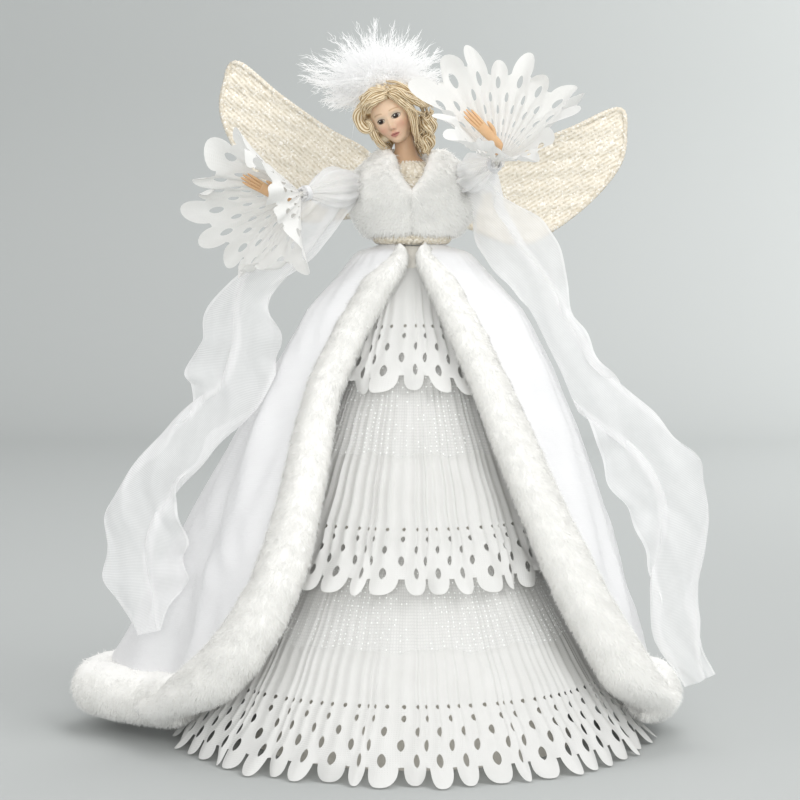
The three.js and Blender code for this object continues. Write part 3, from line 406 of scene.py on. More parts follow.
lined_card, tree, shader = finish("white_lined_card", "#e8e5dd", 0.9)
on_piece = add(tree, "ShaderNodeTexCoord").outputs["Object"]
pulp = add(tree, "ShaderNodeTexNoise", {"Vector": on_piece, "Scale": cell(4), "Detail": 6.0}).outputs["Fac"]
surface(tree, shader, pulp, "#dad6cb", "#f0ede6", pulp, 0.2)

bead_foam, tree, shader = finish("moulded_bead_foam", "#f1efe9", 0.8)
on_piece = add(tree, "ShaderNodeTexCoord").outputs["Object"]
beads_and_gap_shade = add(tree, "ShaderNodeTexVoronoi", {"Vector": on_piece, "Scale": cell(3)}).outputs["Distance"]
# The gaps between the beads are painted darker, as shade where the relief sinks.
surface(tree, shader, beads_and_gap_shade, "#f6f5f1", "#dfdcd3", beads_and_gap_shade, -0.3)

for node, made in {
    "inner_cone": lined_card, "torso_form": bead_foam,
    "left_arm_wire": wrapped_wire, "right_arm_wire": wrapped_wire,
}.items():
    frame["nodes"][node].data.materials.clear()
    frame["nodes"][node].data.materials.append(made)

# %% [markdown]
# ## Tools for the mesh
#
# Almost every piece here is a thin sheet, a tube or a crowd of fibres. So a few small functions do the
# work: one makes a piece from points in millimetres, one draws a smooth line through spots, one sweeps a tube
# along a line and one stands fibres on a surface. Rays from the gown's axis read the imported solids, so the
# cloth follows their sizes and not a second set of numbers.

# %% A piece from points and faces


def piece(name, body, slot, points, faces, made_of, uv=None, uv_name="cloth", shade=None, weld=0.0,
          flat=None):
    """A mesh from points in millimetres, with flat faces from number flat on. It may ride on a body."""
    mesh = bpy.data.meshes.new(name)
    mesh.from_pydata((np.asarray(points, float).reshape(-1, 3) * MM).tolist(), [], faces)
    if shade is not None:
        shares = np.asarray(shade, np.float32).ravel()
        mesh.attributes.new("shade", "FLOAT", "POINT").data.foreach_set("value", shares)
    if uv is not None:
        corners = np.empty(len(mesh.loops), np.int32)
        mesh.loops.foreach_get("vertex_index", corners)
        spots = np.asarray(uv, np.float32).reshape(-1, 2)[corners]
        mesh.uv_layers.new(name=uv_name).data.foreach_set("uv", spots.ravel())
    if weld:
        seams = bmesh.new()
        seams.from_mesh(mesh)
        bmesh.ops.remove_doubles(seams, verts=seams.verts, dist=weld * MM)
        bmesh.ops.recalc_face_normals(seams, faces=seams.faces)
        seams.to_mesh(mesh)
        seams.free()
    mesh.materials.append(made_of)
    rounded = np.ones(len(mesh.polygons), bool)
    rounded[flat:] = flat is None
    mesh.polygons.foreach_set("use_smooth", rounded)
    made = bpy.data.objects.new(name, mesh)
    bpy.context.scene.collection.objects.link(made)
    if body:
        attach(made, body)
    return made


def thicken(made, thickness):
    """Gives a sheet its thickness, half to each side."""
    solid = made.modifiers.new("thickness", "SOLIDIFY")
    solid.thickness = thickness * MM
    solid.offset = 0.0
    return made


def grid_faces(rows, columns, wraps=False):
    """Quads of a grid of points, row by row. Its columns may wrap round."""
    i, j = np.meshgrid(np.arange(rows - 1), np.arange(columns if wraps else columns - 1), indexing="ij")
    k = (j + 1) % columns
    quads = [i * columns + j, i * columns + k, (i + 1) * columns + k, (i + 1) * columns + j]
    return np.stack(quads, -1).reshape(-1, 4).tolist()


def capped_faces(rows, sides):
    """Faces of a tube of rows, with a flat cap at each end."""
    last = (rows - 1) * sides
    return grid_faces(rows, sides, True) + [list(range(sides))[::-1], list(range(last, last + sides))]


def ball(rounds, radius=1.0):
    """Points and triangles of a ball, finer with each round."""
    made = bmesh.new()
    bmesh.ops.create_icosphere(made, subdivisions=rounds, radius=radius)
    points = np.array([v.co for v in made.verts])
    faces = [[v.index for v in f.verts] for f in made.faces]
    made.free()
    return points, faces


def bundle(parts):
    """Several parts as one. Each has points and faces, and may have a shade for each point."""
    points, faces, shades, start = [], [], [], 0
    for spots, corners, *shade in parts:
        points.append(spots)
        shades.append(shade[0] if shade else np.zeros(len(spots)))
        faces += [[c + start for c in face] for face in corners]
        start += len(spots)
    return np.concatenate(points), faces, np.concatenate(shades)


def smooth(x, start, end):
    """0 before start and 1 past end, with a soft step between. It falls if the end is below the start."""
    t = np.clip((x - start) / (end - start), 0, 1)
    return t * t * (3 - 2 * t)


def unit(vectors):
    return vectors / np.linalg.norm(vectors, axis=-1, keepdims=True)


# %% Lines, tubes and places round the gown
CURVE_STEPS = 24  # between two spots of a line
ODD_WAY = (0.31, 0.17, 0.93)  # no line starts this way, so a first side can be found from it


def circle(sides):
    """Even steps round a circle, in radians."""
    return 2 * np.pi * np.arange(sides) / sides


def around(radius, angle, z):
    """Points round the gown's axis, with the angle in degrees from the front towards +X."""
    turn = np.radians(angle)
    return np.stack(np.broadcast_arrays(radius * np.sin(turn), -radius * np.cos(turn), z), -1)


def polar(points):
    """Radius and angle of points, as around takes them."""
    return np.hypot(points[..., 0], points[..., 1]), np.degrees(np.arctan2(points[..., 0], -points[..., 1]))


def curve(spots, count, joined=False):
    """Evenly spaced points on a smooth line through spots."""
    spots = np.asarray(spots, float)
    if joined:
        before, after = spots[-1:], spots[:2]
    else:
        before, after = 2 * spots[:1] - spots[1:2], 2 * spots[-1:] - spots[-2:-1]
    run = np.concatenate([before, spots, after])
    t = np.linspace(0, 1, CURVE_STEPS, endpoint=False)[:, None]
    line = [
        (2 * b + (c - a) * t + (2 * a - 5 * b + 4 * c - d) * t ** 2 + (3 * b - a - 3 * c + d) * t ** 3) / 2
        for a, b, c, d in zip(run, run[1:], run[2:], run[3:])
    ]
    line = np.concatenate([*line, run[-2:-1]])
    length = np.concatenate([[0], np.cumsum(np.linalg.norm(np.diff(line, axis=0), axis=1))])
    even = np.linspace(0, length[-1], count)
    return np.stack([np.interp(even, length, line[:, k]) for k in range(3)], 1)


def sweep(path, radii, sides=12, flat=1.0, ridges=0, ridge=0.0, twist=0.0):
    """A closed tube along points, as a part for a bundle. Its ridges are pale in its shade."""
    path = np.asarray(path, float)
    count = len(path)
    radii = np.broadcast_to(np.asarray(radii, float), count)
    way = unit(np.gradient(path, axis=0))
    side = np.cross(way[0], ODD_WAY)
    turn = circle(sides)
    rings = []
    for i in range(count):
        side = unit(side - way[i] * side.dot(way[i]))
        angle = turn + 2 * np.pi * twist * i / (count - 1)
        reach = radii[i] * (1 + ridge * np.cos(ridges * turn))
        rings.append(
            path[i] + np.outer(reach * np.cos(angle), side)
            + np.outer(flat * reach * np.sin(angle), np.cross(way[i], side))
        )
    last = (count - 1) * sides
    faces = grid_faces(count, sides, wraps=True)
    for j in range(sides):
        k = (j + 1) % sides
        faces += [[count * sides, k, j], [count * sides + 1, last + j, last + k]]
    shade = np.concatenate([np.tile(0.5 + 0.5 * np.cos(ridges * turn), count), [0.5, 0.5]])
    return np.concatenate([*rings, path[:1], path[-1:]]), faces, shade


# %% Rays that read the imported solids
FAR = 400  # millimetres, outside every solid
NUDGE = 0.05  # degrees, so that no ray runs along an edge of a solid


def box_mm(node):
    """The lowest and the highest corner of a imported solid's box, in millimetres."""
    return [np.array(corner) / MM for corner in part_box(node)]


def rays(node):
    """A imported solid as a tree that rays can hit."""
    mesh = frame["nodes"][node].data
    return BVHTree.FromPolygons([v.co[:] for v in mesh.vertices], [p.vertices[:] for p in mesh.polygons])


def span(tree, angle, z):
    """Distances in millimetres from the gown's axis to the inner and outer side of a solid, or None."""
    axis = Vector((0, 0, z * MM))
    way = Vector(around(1.0, angle, 0.0).tolist())
    inner = tree.ray_cast(axis, way)[0]
    if inner is None:
        return None
    outer = tree.ray_cast(axis + way * FAR * MM, -way)[0]
    return (inner - axis).length / MM, (outer - axis).length / MM


# %% Fibres on a surface
FACING = (0.12, 1.0, 0.08)  # from front to back, a little askew
TAPER = 0.75  # share of its width that a ribbon loses towards its tip


def strands(roots, tips, bends, widths, rings=1):
    """Flat pointed ribbons that face the front, as a part whose shade runs from root to tip."""
    count = len(roots)
    side = unit(np.cross(tips - roots, FACING))
    share = np.arange(rings) / rings
    bow = (4 * share * (1 - share))[None, :, None]
    middle = roots[:, None] + (tips - roots)[:, None] * share[None, :, None] + bends[:, None] * bow
    wide = np.broadcast_to(widths, count)[:, None] * (1 - TAPER * share)[None]
    half = wide[:, :, None] * side[:, None]
    skin = np.stack([middle - half, middle + half], 2).reshape(count, 2 * rings, 3)
    size = 2 * rings + 1
    points = np.concatenate([skin, tips[:, None]], 1).reshape(-1, 3)
    one = [[size - 3, size - 2, size - 1]]
    for i in range(0, 2 * (rings - 1), 2):
        one += [[i, i + 1, i + 3], [i, i + 3, i + 2]]
    faces = (np.array(one)[None] + size * np.arange(count)[:, None, None]).reshape(-1, 3)
    return points, faces.tolist(), np.tile(np.concatenate([np.repeat(share, 2), [1.0]]), count)


BLADE_HALF = 0.3  # half width of a blade of plush at its root
BLADE_UP = 0.6  # how far the blades stand up against the comb
BLADE_STRAY = 0.35  # how far each one strays from it


def soft_copy(node, voxel, rounds):
    """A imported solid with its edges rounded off, as points in millimetres, triangles and normals."""
    blank = bpy.data.objects.new("blank", frame["nodes"][node].data.copy())
    bpy.context.scene.collection.objects.link(blank)
    remesh = blank.modifiers.new("remesh", "REMESH")
    remesh.mode = "VOXEL"
    remesh.voxel_size = voxel * MM
    soften = blank.modifiers.new("soften", "SMOOTH")
    soften.iterations = rounds
    mesh = bpy.data.meshes.new_from_object(blank.evaluated_get(bpy.context.evaluated_depsgraph_get()))
    points = np.array([v.co for v in mesh.vertices]) / MM
    normals = np.array([v.normal for v in mesh.vertices])
    mesh.calc_loop_triangles()
    triangles = np.array([t.vertices for t in mesh.loop_triangles])
    bpy.data.objects.remove(blank)
    bpy.data.meshes.remove(mesh)
    return points, triangles, normals


def pile(points, triangles, normals, every, length, comb, draw):
    """Plush on a surface, combed one way, with a flat blade each so many square millimetres."""
    a, b, c = (points[triangles[:, k]] for k in range(3))
    area = np.linalg.norm(np.cross(b - a, c - a), axis=1) / 2
    count = int(area.sum() / every)
    chosen = draw.choice(len(area), count, p=area / area.sum())
    mixed = draw.dirichlet((1, 1, 1), count)[:, :, None]
    roots = (points[triangles[chosen]] * mixed).sum(1)
    out = unit((normals[triangles[chosen]] * mixed).sum(1))
    lean = unit(BLADE_UP * out + np.asarray(comb) + draw.normal(0, BLADE_STRAY, (count, 3)))
    tips = roots + lean * length * draw.uniform(0.6, 1.2, (count, 1))
    side = BLADE_HALF * unit(np.cross(lean, out))
    blades = np.stack([roots - side, roots + side, tips], 1).reshape(-1, 3)
    return blades, np.arange(3 * count).reshape(-1, 3).tolist(), np.tile([0.0, 0.0, 1.0], count)


def furred(name, slot, base, fibres, base_finish, fibre_finish):
    """A closed smooth base with flat fibres on it, all of them parts for a bundle."""
    points, faces, shade = bundle([base, *fibres])
    bake = np.stack([(np.arange(len(points)) * 0.618) % 1, shade], 1)
    made = piece(name, "doll", slot, points, faces, base_finish, bake, "OFBake", shade, flat=len(base[1]))
    made.data.materials.append(fibre_finish)
    which = (np.arange(len(faces)) >= len(base[1])).astype(np.int32)
    made.data.polygons.foreach_set("material_index", which)
    return made


# %% [markdown]
# ## Gown tiers
#
# The gown is one eyelet cloth, used five times: it is cut in petals, pierced with pointed holes in rows
# that shift by half a petal, and pressed in sharp pleats. Painting the holes on would look flat, so one petal
# is triangulated with real holes in it and then repeated round the tier. Pleats stay sharp high up and open
# into one bowed tongue at each petal, as the heat set cloth does.

# %% One petal of the eyelet cloth
PETAL_FLAT = 17.0  # width of cloth that goes into one petal
TONGUE = 0.84  # share of a petal that the tongue at its end takes up, and a slot the rest
TIP_STEPS = np.array([0.76, 0.85, 0.92, 0.97, 0.99, 1.0])  # cut points, close where the tongue turns
COLUMNS = 12
FINE_ROW = 1.5
COARSE_ROW = 6.0
EYELET_TOP = 48.0
HOLE_SIDES = 14
HOLE_MARGIN = 1.25  # grid points nearer than this share of a hole's size are left out
EYELETS = [  # height above the petals' tips, half width, half height, places across the petal
    (14.0, 2.1, 3.7, (0.5,)),
    (22.0, 1.8, 3.3, (1.0,)),
    (29.5, 1.5, 2.6, (0.5,)),
    (36.5, 1.3, 1.9, (1.0,)),
    (43.0, 1.15, 1.25, (0.5, 1.0)),
]


def petal_edge(u, slit):
    """Height of the cut edge above the petal's tip. The slits lie at whole numbers of u."""
    share = np.abs(2 * (u % 1) - 1) / TONGUE
    return slit * (1 - np.sqrt(np.clip(1 - share ** 2.8, 0, 1)))


def in_hole(x, y, half_wide, half_high, grow):
    """True inside a hole that is pointed at its ends."""
    rise = np.abs(y) / (half_high * grow)
    wide = half_wide * grow * np.sqrt(np.clip(1 - rise ** 2, 0, 1)) * (1 - 0.3 * rise ** 3)
    return (rise < 1) & (np.abs(x) < wide)


def petal_cloth(height, slit, scale):
    """One repeat of the cloth, as places across it in petals, heights above the tips, and triangles."""
    left, right = 0.25, 1.25
    steps = np.array([0, 0.16, 0.33, 0.5, *TONGUE * TIP_STEPS, 0.87, 1.0])
    cut = np.concatenate([0.5 - steps[3::-1] / 2, 0.5 + steps[1:] / 2, 1.5 - steps[-2:2:-1] / 2])
    spots = [(u, petal_edge(u, slit)) for u in cut]
    edges = [(i, i + 1) for i in range(len(cut) - 1)]
    holes = [(u, rise * scale, a * scale, b * scale) for rise, a, b, places in EYELETS for u in places]
    turn = circle(HOLE_SIDES)
    for u, rise, half_wide, half_high in holes:
        start = len(spots)
        x = half_wide * np.cos(turn) * (1 - 0.3 * np.abs(np.sin(turn)) ** 3)
        spots += list(zip(u + x / PETAL_FLAT, rise + half_high * np.sin(turn)))
        edges += [(start + i, start + (i + 1) % HOLE_SIDES) for i in range(HOLE_SIDES)]
    rows = np.concatenate([
        np.arange(FINE_ROW, EYELET_TOP, FINE_ROW),
        np.linspace(EYELET_TOP, height, max(2, round((height - EYELET_TOP) / COARSE_ROW) + 1)),
    ])
    for u in np.linspace(left, right, COLUMNS + 1):
        for v in rows:
            near = any(in_hole((u - h[0]) * PETAL_FLAT, v - h[1], h[2], h[3], HOLE_MARGIN) for h in holes)
            if v > petal_edge(u, slit) + FINE_ROW / 3 and not near:
                spots.append((u, v))
    flat = [Vector((u * PETAL_FLAT, v)) for u, v in spots]
    made, _, triangles, *_ = delaunay_2d_cdt(flat, edges, [], 0, 1e-5)
    u = np.array([p.x for p in made]) / PETAL_FLAT
    v = np.array([p.y for p in made])
    triangles = np.array(triangles)
    middle_u, middle_v = u[triangles].mean(1), v[triangles].mean(1)
    keep = middle_v > np.interp(middle_u, cut, petal_edge(cut, slit))
    for hole in holes:
        keep &= ~in_hole((middle_u - hole[0]) * PETAL_FLAT, middle_v - hole[1], hole[2], hole[3], 1.0)
    return u, v, triangles[keep]


def hung_cloth(name, body, petals, height, slit, scale, hang):
    """The cloth repeated over so many petals. hang gives points from places in petals and heights."""
    u, v, triangles = petal_cloth(height, slit, scale)
    points = np.concatenate([hang(u + i, v) for i in range(petals)])
    uv = np.concatenate([np.stack([(u + i) * PETAL_FLAT, v], 1) for i in range(petals)])
    faces = np.concatenate([triangles + i * len(u) for i in range(petals)]).tolist()
    return piece(name, body, "eyelet_cotton", points, faces, eyelet_voile, uv=uv, weld=0.02)


# %% Pleats and tongues
SLIT = 10.0
PLEATS = 2  # in each petal
CREASE = 1.5  # above 1, the ridges are narrow and the valleys wide
KNIFE = 0.1  # how far a ridge leans sideways over its valley, in petals
OPEN_FROM, OPEN_AT = 30, 10  # heights above the tips between which pleats open into tongues
TONGUE_DEPTH = 0.75  # share of the fold depth by which a tongue bows
READ_ABOVE, READINGS = 7, 40  # a solid is read from this far above its hem, so many times
TIER_LOOSE = 2.4  # how far the ends of the petals lean out or roll over
TIER_CLEAR = 0.6  # how far the valleys lie off the inner side of the solid
FLARE_FROM = 45  # height above the tips at which a flare starts


def pleat_wave(u, v, depths):
    """Share of the fold depth: sharp pleats above, one bowed tongue for each petal at the hem."""
    place_in = u * PLEATS
    ridge = np.round(place_in).astype(int) % len(depths)
    sharp = (1 - 2 * np.abs(place_in - np.round(place_in))) ** CREASE * depths[ridge]
    tongue = 0.5 - 0.5 * np.cos(2 * np.pi * u)
    return sharp + (TONGUE_DEPTH * tongue - sharp) * smooth(v, OPEN_FROM, OPEN_AT)


def loose_petals(u, v, petals, slit, loose, draws):
    """How far each petal's free end leans out or rolls over, and how far it sways sideways, in petals."""
    free = np.clip(1 - v / (1.3 * slit), 0, 1) ** 1.2
    lean, roll, sway = draws[:, np.floor(u).astype(int) % petals]
    return free * loose * (lean + 1.3 * roll * (u % 1 - 0.5)), free * 0.05 * sway


def tier(name, node, petals, scale, seed, dip=0.0, flare_out=0.0, rise=0.0):
    """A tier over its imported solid. Its hem may dip at the sides or flare, and its top may run on up."""
    draw = np.random.default_rng(seed)
    (_, _, low), (_, _, high) = box_mm(node)
    solid = rays(node)
    heights = np.linspace(low + READ_ABOVE, high - 1, READINGS)
    valley = np.array([span(solid, 180 / petals + NUDGE, z)[0] for z in heights])
    peak = np.array([span(solid, NUDGE, z)[0] for z in heights])
    tall = heights[-1] - heights[0]
    slant = np.hypot(tall, valley[0] - valley[-1]) * (high - low) / tall
    depths = draw.uniform(0.5, 1.0, petals * PLEATS)
    petal_draws = draw.normal(0, 1, (3, petals))

    def out(z, values):
        past = np.maximum(heights[0] - z, 0) - np.maximum(z - heights[-1], 0)
        return np.interp(z, heights, values) + past * (values[0] - values[-1]) / tall

    def hang(u, v):
        tilt, shift = loose_petals(u, v, petals, SLIT, TIER_LOOSE, petal_draws)
        wave = pleat_wave(u, v, depths)
        turn = 2 * np.pi * u / petals
        stray = 0.11 * np.sin(turn * (petals // 3)) + 0.08 * np.sin(turn * (petals // 2 + 1) + 1)
        stray = stray + 0.03 * np.sin(0.2 * v + 5 * turn)
        angle = 360 * (u + shift + stray + KNIFE * wave * smooth(v, 12, 30) - 0.5) / petals
        lower = dip * np.sin(np.radians(angle)) ** 2 * np.clip(1 - v / slant, 0, 1)
        z = low + v * (high - low) / slant - lower
        inner, outer = out(z, valley), out(z, peak)
        spread = TIER_CLEAR + tilt + flare_out * smooth(v, FLARE_FROM, 0)
        return around(inner + spread + (outer - inner) * wave, angle, z)

    made = hung_cloth(name, "doll", petals, slant + rise, SLIT * scale, scale, hang)
    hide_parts(node)
    print(f"{name}: {petals} petals, {slant:.0f} mm long, {len(made.data.polygons)} faces")
    return made


tier("eyelet_bottom_tier", "bottom_tier", 54, 1.0, seed=1, flare_out=5.0, rise=30.0)
tier("eyelet_middle_tier", "middle_tier", 36, 0.85, seed=2, rise=36.0)
tier("eyelet_apron", "apron_tier", 20, 0.9, seed=3, dip=9.0, rise=21.0)

# %% [markdown]
# ## Bead net
#
# Two bands of tulle show between the eyelet tiers. Clear sequins sit on the meshes in straight rows, and
# they are what glints. Each sequin is a small closed lozenge, so that it catches light by itself.

# %% Net bands with their sequins
SEQUIN_PITCH = 3.4
SEQUIN_ROW = 2.5
SEQUIN_HALF = (0.42, 0.5, 0.2)  # across, up and out
SEQUINS_KEPT = 0.65  # share of the places that have a sequin, less between the patches
SEQUIN_SIDES = 6
SEQUINS_UP = 0.7  # share of a band's height that has sequins
PATCHES = 9  # round the gown, with more sequins on them
NET_CLEAR, SEQUIN_CLEAR = 0.8, 0.6  # how far the net is off its solid, and a sequin off the net
NET_COLUMNS, NET_ROWS = 540, 24


def lozenges(places, out):
    """Closed lozenges at places, as points and faces."""
    across = unit(np.cross(out, (0, 0, 1)) + 1e-9)
    up = np.cross(across, out)
    turn = circle(SEQUIN_SIDES)[:, None]
    wide, high, thick = SEQUIN_HALF
    rim = wide * across[:, None] * np.cos(turn) + high * up[:, None] * np.sin(turn)
    ends = thick * np.stack([-out, out], 1)
    points = (places[:, None] + np.concatenate([rim, ends], 1)).reshape(-1, 3)
    following = [(j, (j + 1) % SEQUIN_SIDES) for j in range(SEQUIN_SIDES)]
    one = [[j, k, SEQUIN_SIDES + 1] for j, k in following] + [[k, j, SEQUIN_SIDES] for j, k in following]
    starts = (SEQUIN_SIDES + 2) * np.arange(len(places))
    return points, (np.array(one)[None] + starts[:, None, None]).reshape(-1, 3).tolist()


def net_band(name, node, seed):
    """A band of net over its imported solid, with sequins in rows on its lower part."""
    draw = np.random.default_rng(seed)
    (_, _, low), (_, _, high) = box_mm(node)
    solid = rays(node)
    angles = np.arange(NET_COLUMNS) * 360 / NET_COLUMNS
    heights = np.linspace(low + 0.2, high - 0.2, NET_ROWS)
    radii = np.array([np.mean([span(solid, a + NUDGE, z)[0] for a in range(0, 360, 15)]) for z in heights])
    waves = 1.5 * np.abs(np.sin(np.radians(angles * 36))) + 1.0 * np.sin(np.radians(angles * 17 + 40))
    hem = 1.1 * np.sin(np.radians(angles * 13)) + 0.9 * np.sin(np.radians(angles * 31 + 60))

    def drop(z):
        return (high - z) / (high - low)

    def net(angle, z):
        wave = np.interp(angle % 360, angles, waves, period=360)
        return np.interp(z, heights, radii) + NET_CLEAR + wave * drop(z)

    grid_angle, grid_z = np.meshgrid(angles, heights)
    grid_z = grid_z + hem[None] * drop(grid_z) ** 3
    points = around(net(grid_angle, grid_z), grid_angle, grid_z)
    girth = 2 * np.pi * radii[0]
    uv = np.stack([grid_angle / 360 * girth, grid_z], -1)
    faces = grid_faces(NET_ROWS, NET_COLUMNS, True)
    made = piece(name, "doll", "bead_net", points, faces, bead_net, uv=uv)
    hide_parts(node)
    count = int(girth / SEQUIN_PITCH)
    lines = np.arange(low + 1.5, low + SEQUINS_UP * (high - low), SEQUIN_ROW)
    angle, z = (grid.ravel() for grid in np.meshgrid(np.arange(count) * 360 / count, lines))
    patch = 0.5 + 0.5 * np.cos(np.radians(PATCHES * (angle - 20)))
    kept = draw.random(len(angle)) < SEQUINS_KEPT * (0.25 + patch)
    angle = angle[kept] + draw.normal(0, 0.15, kept.sum())
    z = z[kept] + np.interp(angle % 360, angles, hem, period=360) * drop(z[kept]) ** 3
    spots = around(net(angle, z) + SEQUIN_CLEAR, angle, z)
    out = unit(around(1.0, angle, 0.3) + draw.normal(0, 0.18, spots.shape))
    sequins = piece(name + "_sequins", "doll", "bead_net", *lozenges(spots, out), sequin_film, flat=0)


net_band("tulle_lower_band", "lower_bead_tier", seed=4)
net_band("tulle_upper_band", "upper_bead_tier", seed=5)

# %% [markdown]
# ## Coat
#
# The coat is satin, gathered at the belt and held open by its fur edges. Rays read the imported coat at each
# height, with its eleven long folds. The reading is smoothed over a few degrees, because the solid has few
# faces, and finer folds that deepen towards the hem are laid on it.

# %% Front edges of the coat
COAT_ROWS = 64
COAT_COLUMNS = 180
(_, _, coat_low), (_, _, coat_high) = box_mm("coat")
coat_solid = rays("coat")
trim_solids = {1: rays("coat_trim_left"), -1: rays("coat_trim_right")}
edge_heights = np.linspace(coat_low - 8, coat_high - 9, 40)


def edge_line(side):
    """Angle and radius of the middle of a fur edge at each height."""
    found = []
    for z in edge_heights:
        hits = {a: span(trim_solids[side], side * a, z) for a in np.arange(3.0, 100.0, 1.0)}
        hits = {a: hit for a, hit in hits.items() if hit}
        middle = float(np.mean(list(hits)))
        nearest = min(hits, key=lambda a: abs(a - middle))
        found.append((middle, sum(hits[nearest]) / 2))
    return np.array(found)


edge_lines = {side: edge_line(side) for side in (1, -1)}


def edge_at(side, z):
    """Angle and radius of the middle of a fur edge, at any height."""
    return [np.interp(z, edge_heights, edge_lines[side][:, k]) for k in (0, 1)]


print("coat opens from", edge_lines[1][-1, 0].round(), "to", edge_lines[1][0, 0].round(), "degrees a side")

# %% Cloth of the coat
FINE_FOLDS = 29
FINE_DEPTH = 2.0
CRUSH = 1.3  # slanting creases
SLACK = 0.9  # how much deeper they are on the side that is pulled out
SLACK_AT = 290  # where that side is, in degrees
GATHERS = 44
GATHER_DEPTH = 0.8
WAIST = 18.5  # radius of the gathered top
UNDER_BELT = 3.0  # how far it runs up behind the belt
STILL = 14  # columns at each front edge over which the folds fade in
SMOOTH_DEGREES = 3
READ_STEP = 2.0
read_heights = np.linspace(coat_low + 0.5, coat_high - 3.2, 30)
read_angles = np.arange(0.0, 360.0, READ_STEP)


def coat_reading(z):
    """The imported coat's middle at one height, for each reading angle, smoothed."""
    hits = [span(coat_solid, a if a <= 180 else a - 360, z) for a in read_angles]
    known = [(a, sum(hit) / 2) for a, hit in zip(read_angles, hits) if hit]
    edges = []
    for side in (1, -1):
        angle, radius = edge_at(side, z)
        edges.append((angle if side > 0 else 360 - angle, radius))
    angles, radii = np.array(sorted(known + edges)).T
    full = np.interp(read_angles, angles, radii)
    kernel = np.exp(-0.5 * (np.arange(-15, 16) * READ_STEP / SMOOTH_DEGREES) ** 2)
    return np.convolve(np.pad(full, 15, mode="edge"), kernel / kernel.sum(), mode="valid")


coat_table = np.array([coat_reading(z) for z in read_heights])


def coat_radius(angle, z):
    """The coat's middle at angles in degrees and heights, without its fine folds."""
    a = np.clip(np.asarray(angle) % 360, read_angles[0], read_angles[-1]) / READ_STEP
    h = np.clip((z - read_heights[0]) / (read_heights[1] - read_heights[0]), 0, len(read_heights) - 1.001)
    i, j = np.floor(h).astype(int), np.minimum(np.floor(a).astype(int), len(read_angles) - 2)
    s, t = h - i, a - j
    low = coat_table[i, j] * (1 - t) + coat_table[i, j + 1] * t
    high = coat_table[i + 1, j] * (1 - t) + coat_table[i + 1, j + 1] * t
    return low * (1 - s) + high * s


def coat_fold(angle, z):
    """How far the fine folds, the creases and the gathers stand out."""
    drop = np.clip((coat_high - z) / (coat_high - coat_low), 0, 1)
    turn = np.radians(angle)
    fine = np.sin(FINE_FOLDS * turn + 2.2 * np.sin(3 * turn + 1) + 0.8 * drop) * drop ** 0.8
    gathers = np.sin(GATHERS * turn + 2 * np.sin(5 * turn)) * np.clip(1 - drop / 0.35, 0, 1)
    crush = np.sin(17 * turn + 9 * drop + 1.5 * np.sin(7 * drop)) * np.sin(11 * drop - 3 * turn)
    small = np.sin(41 * turn - 23 * drop + 2 * np.sin(13 * drop)) * np.sin(19 * drop + 5 * turn)
    slack = 1 + SLACK * np.exp(-(((np.asarray(angle) % 360) - SLACK_AT) / 40) ** 2)
    creases = slack * (CRUSH * crush + 0.5 * small) * drop ** 0.5
    return FINE_DEPTH * fine + creases + GATHER_DEPTH * gathers * smooth(drop, 0, 0.05)


heights = np.concatenate([
    np.linspace(coat_high + UNDER_BELT, coat_high - 4, 6),
    np.linspace(coat_high - 6, coat_low - 6, COAT_ROWS),
])
column = np.arange(COAT_COLUMNS + 1)
inside = np.clip(np.minimum(column, COAT_COLUMNS - column) / STILL, 0, 1)
rows = []
for z in heights:
    angle = np.linspace(edge_at(1, z)[0], 360 - edge_at(-1, z)[0], COAT_COLUMNS + 1)
    tucked = smooth(coat_high - z, 0, 5)
    radius = WAIST + (coat_radius(angle, z) - WAIST) * tucked + coat_fold(angle, z) * inside * tucked
    rows.append(around(radius, angle, z))
points = np.array(rows)
widths = np.linalg.norm(np.diff(points, axis=1), axis=2).sum(1)
lengths = np.concatenate([[0], np.cumsum(np.linalg.norm(np.diff(points, axis=0), axis=2).mean(1))])
across = np.linspace(-0.5, 0.5, COAT_COLUMNS + 1)
uv = np.stack([np.outer(widths, across), np.repeat(-lengths[:, None], COAT_COLUMNS + 1, 1)], -1)
faces = grid_faces(len(heights), COAT_COLUMNS + 1)
coat = piece("satin_coat", "doll", "coat_satin", points, faces, coat_satin, uv=uv, weld=0.01)
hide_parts("coat")

# %% [markdown]
# ## Fur
#
# The coat's edges, its hem and the stole are short plush on a stuffed roll. A hair system would vanish from
# an exported model, so the pile is real mesh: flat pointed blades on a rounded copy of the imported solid,
# combed one way. A blade that lies along the surface takes light as the surface does, so the plush stays soft
# and pale.

# %% Fur pieces
PLUSH_WAVES = np.array([[0.21, 0.17, 0.26], [-0.13, 0.24, 0.19]])  # radians for each millimetre
PLUSH_UNEVEN = 0.35  # how far the plush swells and sinks with them


def fur(name, node, every, length, comb, seed, swell=0.0, voxel=2.2, rounds=8, shape=None):
    """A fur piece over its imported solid. shape may move the rounded points before the pile grows."""
    draw = np.random.default_rng(seed)
    points, triangles, normals = soft_copy(node, voxel, rounds)
    uneven = np.sin(points @ PLUSH_WAVES[0]) * np.sin(points @ PLUSH_WAVES[1])
    points = points + normals * (PLUSH_UNEVEN * uneven[:, None] + swell)
    if shape:
        points = shape(points)
    blades = pile(points, triangles, normals, every, length, comb, draw)
    made = furred(name, "faux_fur", (points, triangles.tolist()), [blades], fur_backing, faux_fur)
    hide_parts(node)
    print(f"{name}: {len(blades[1])} blades")
    return made


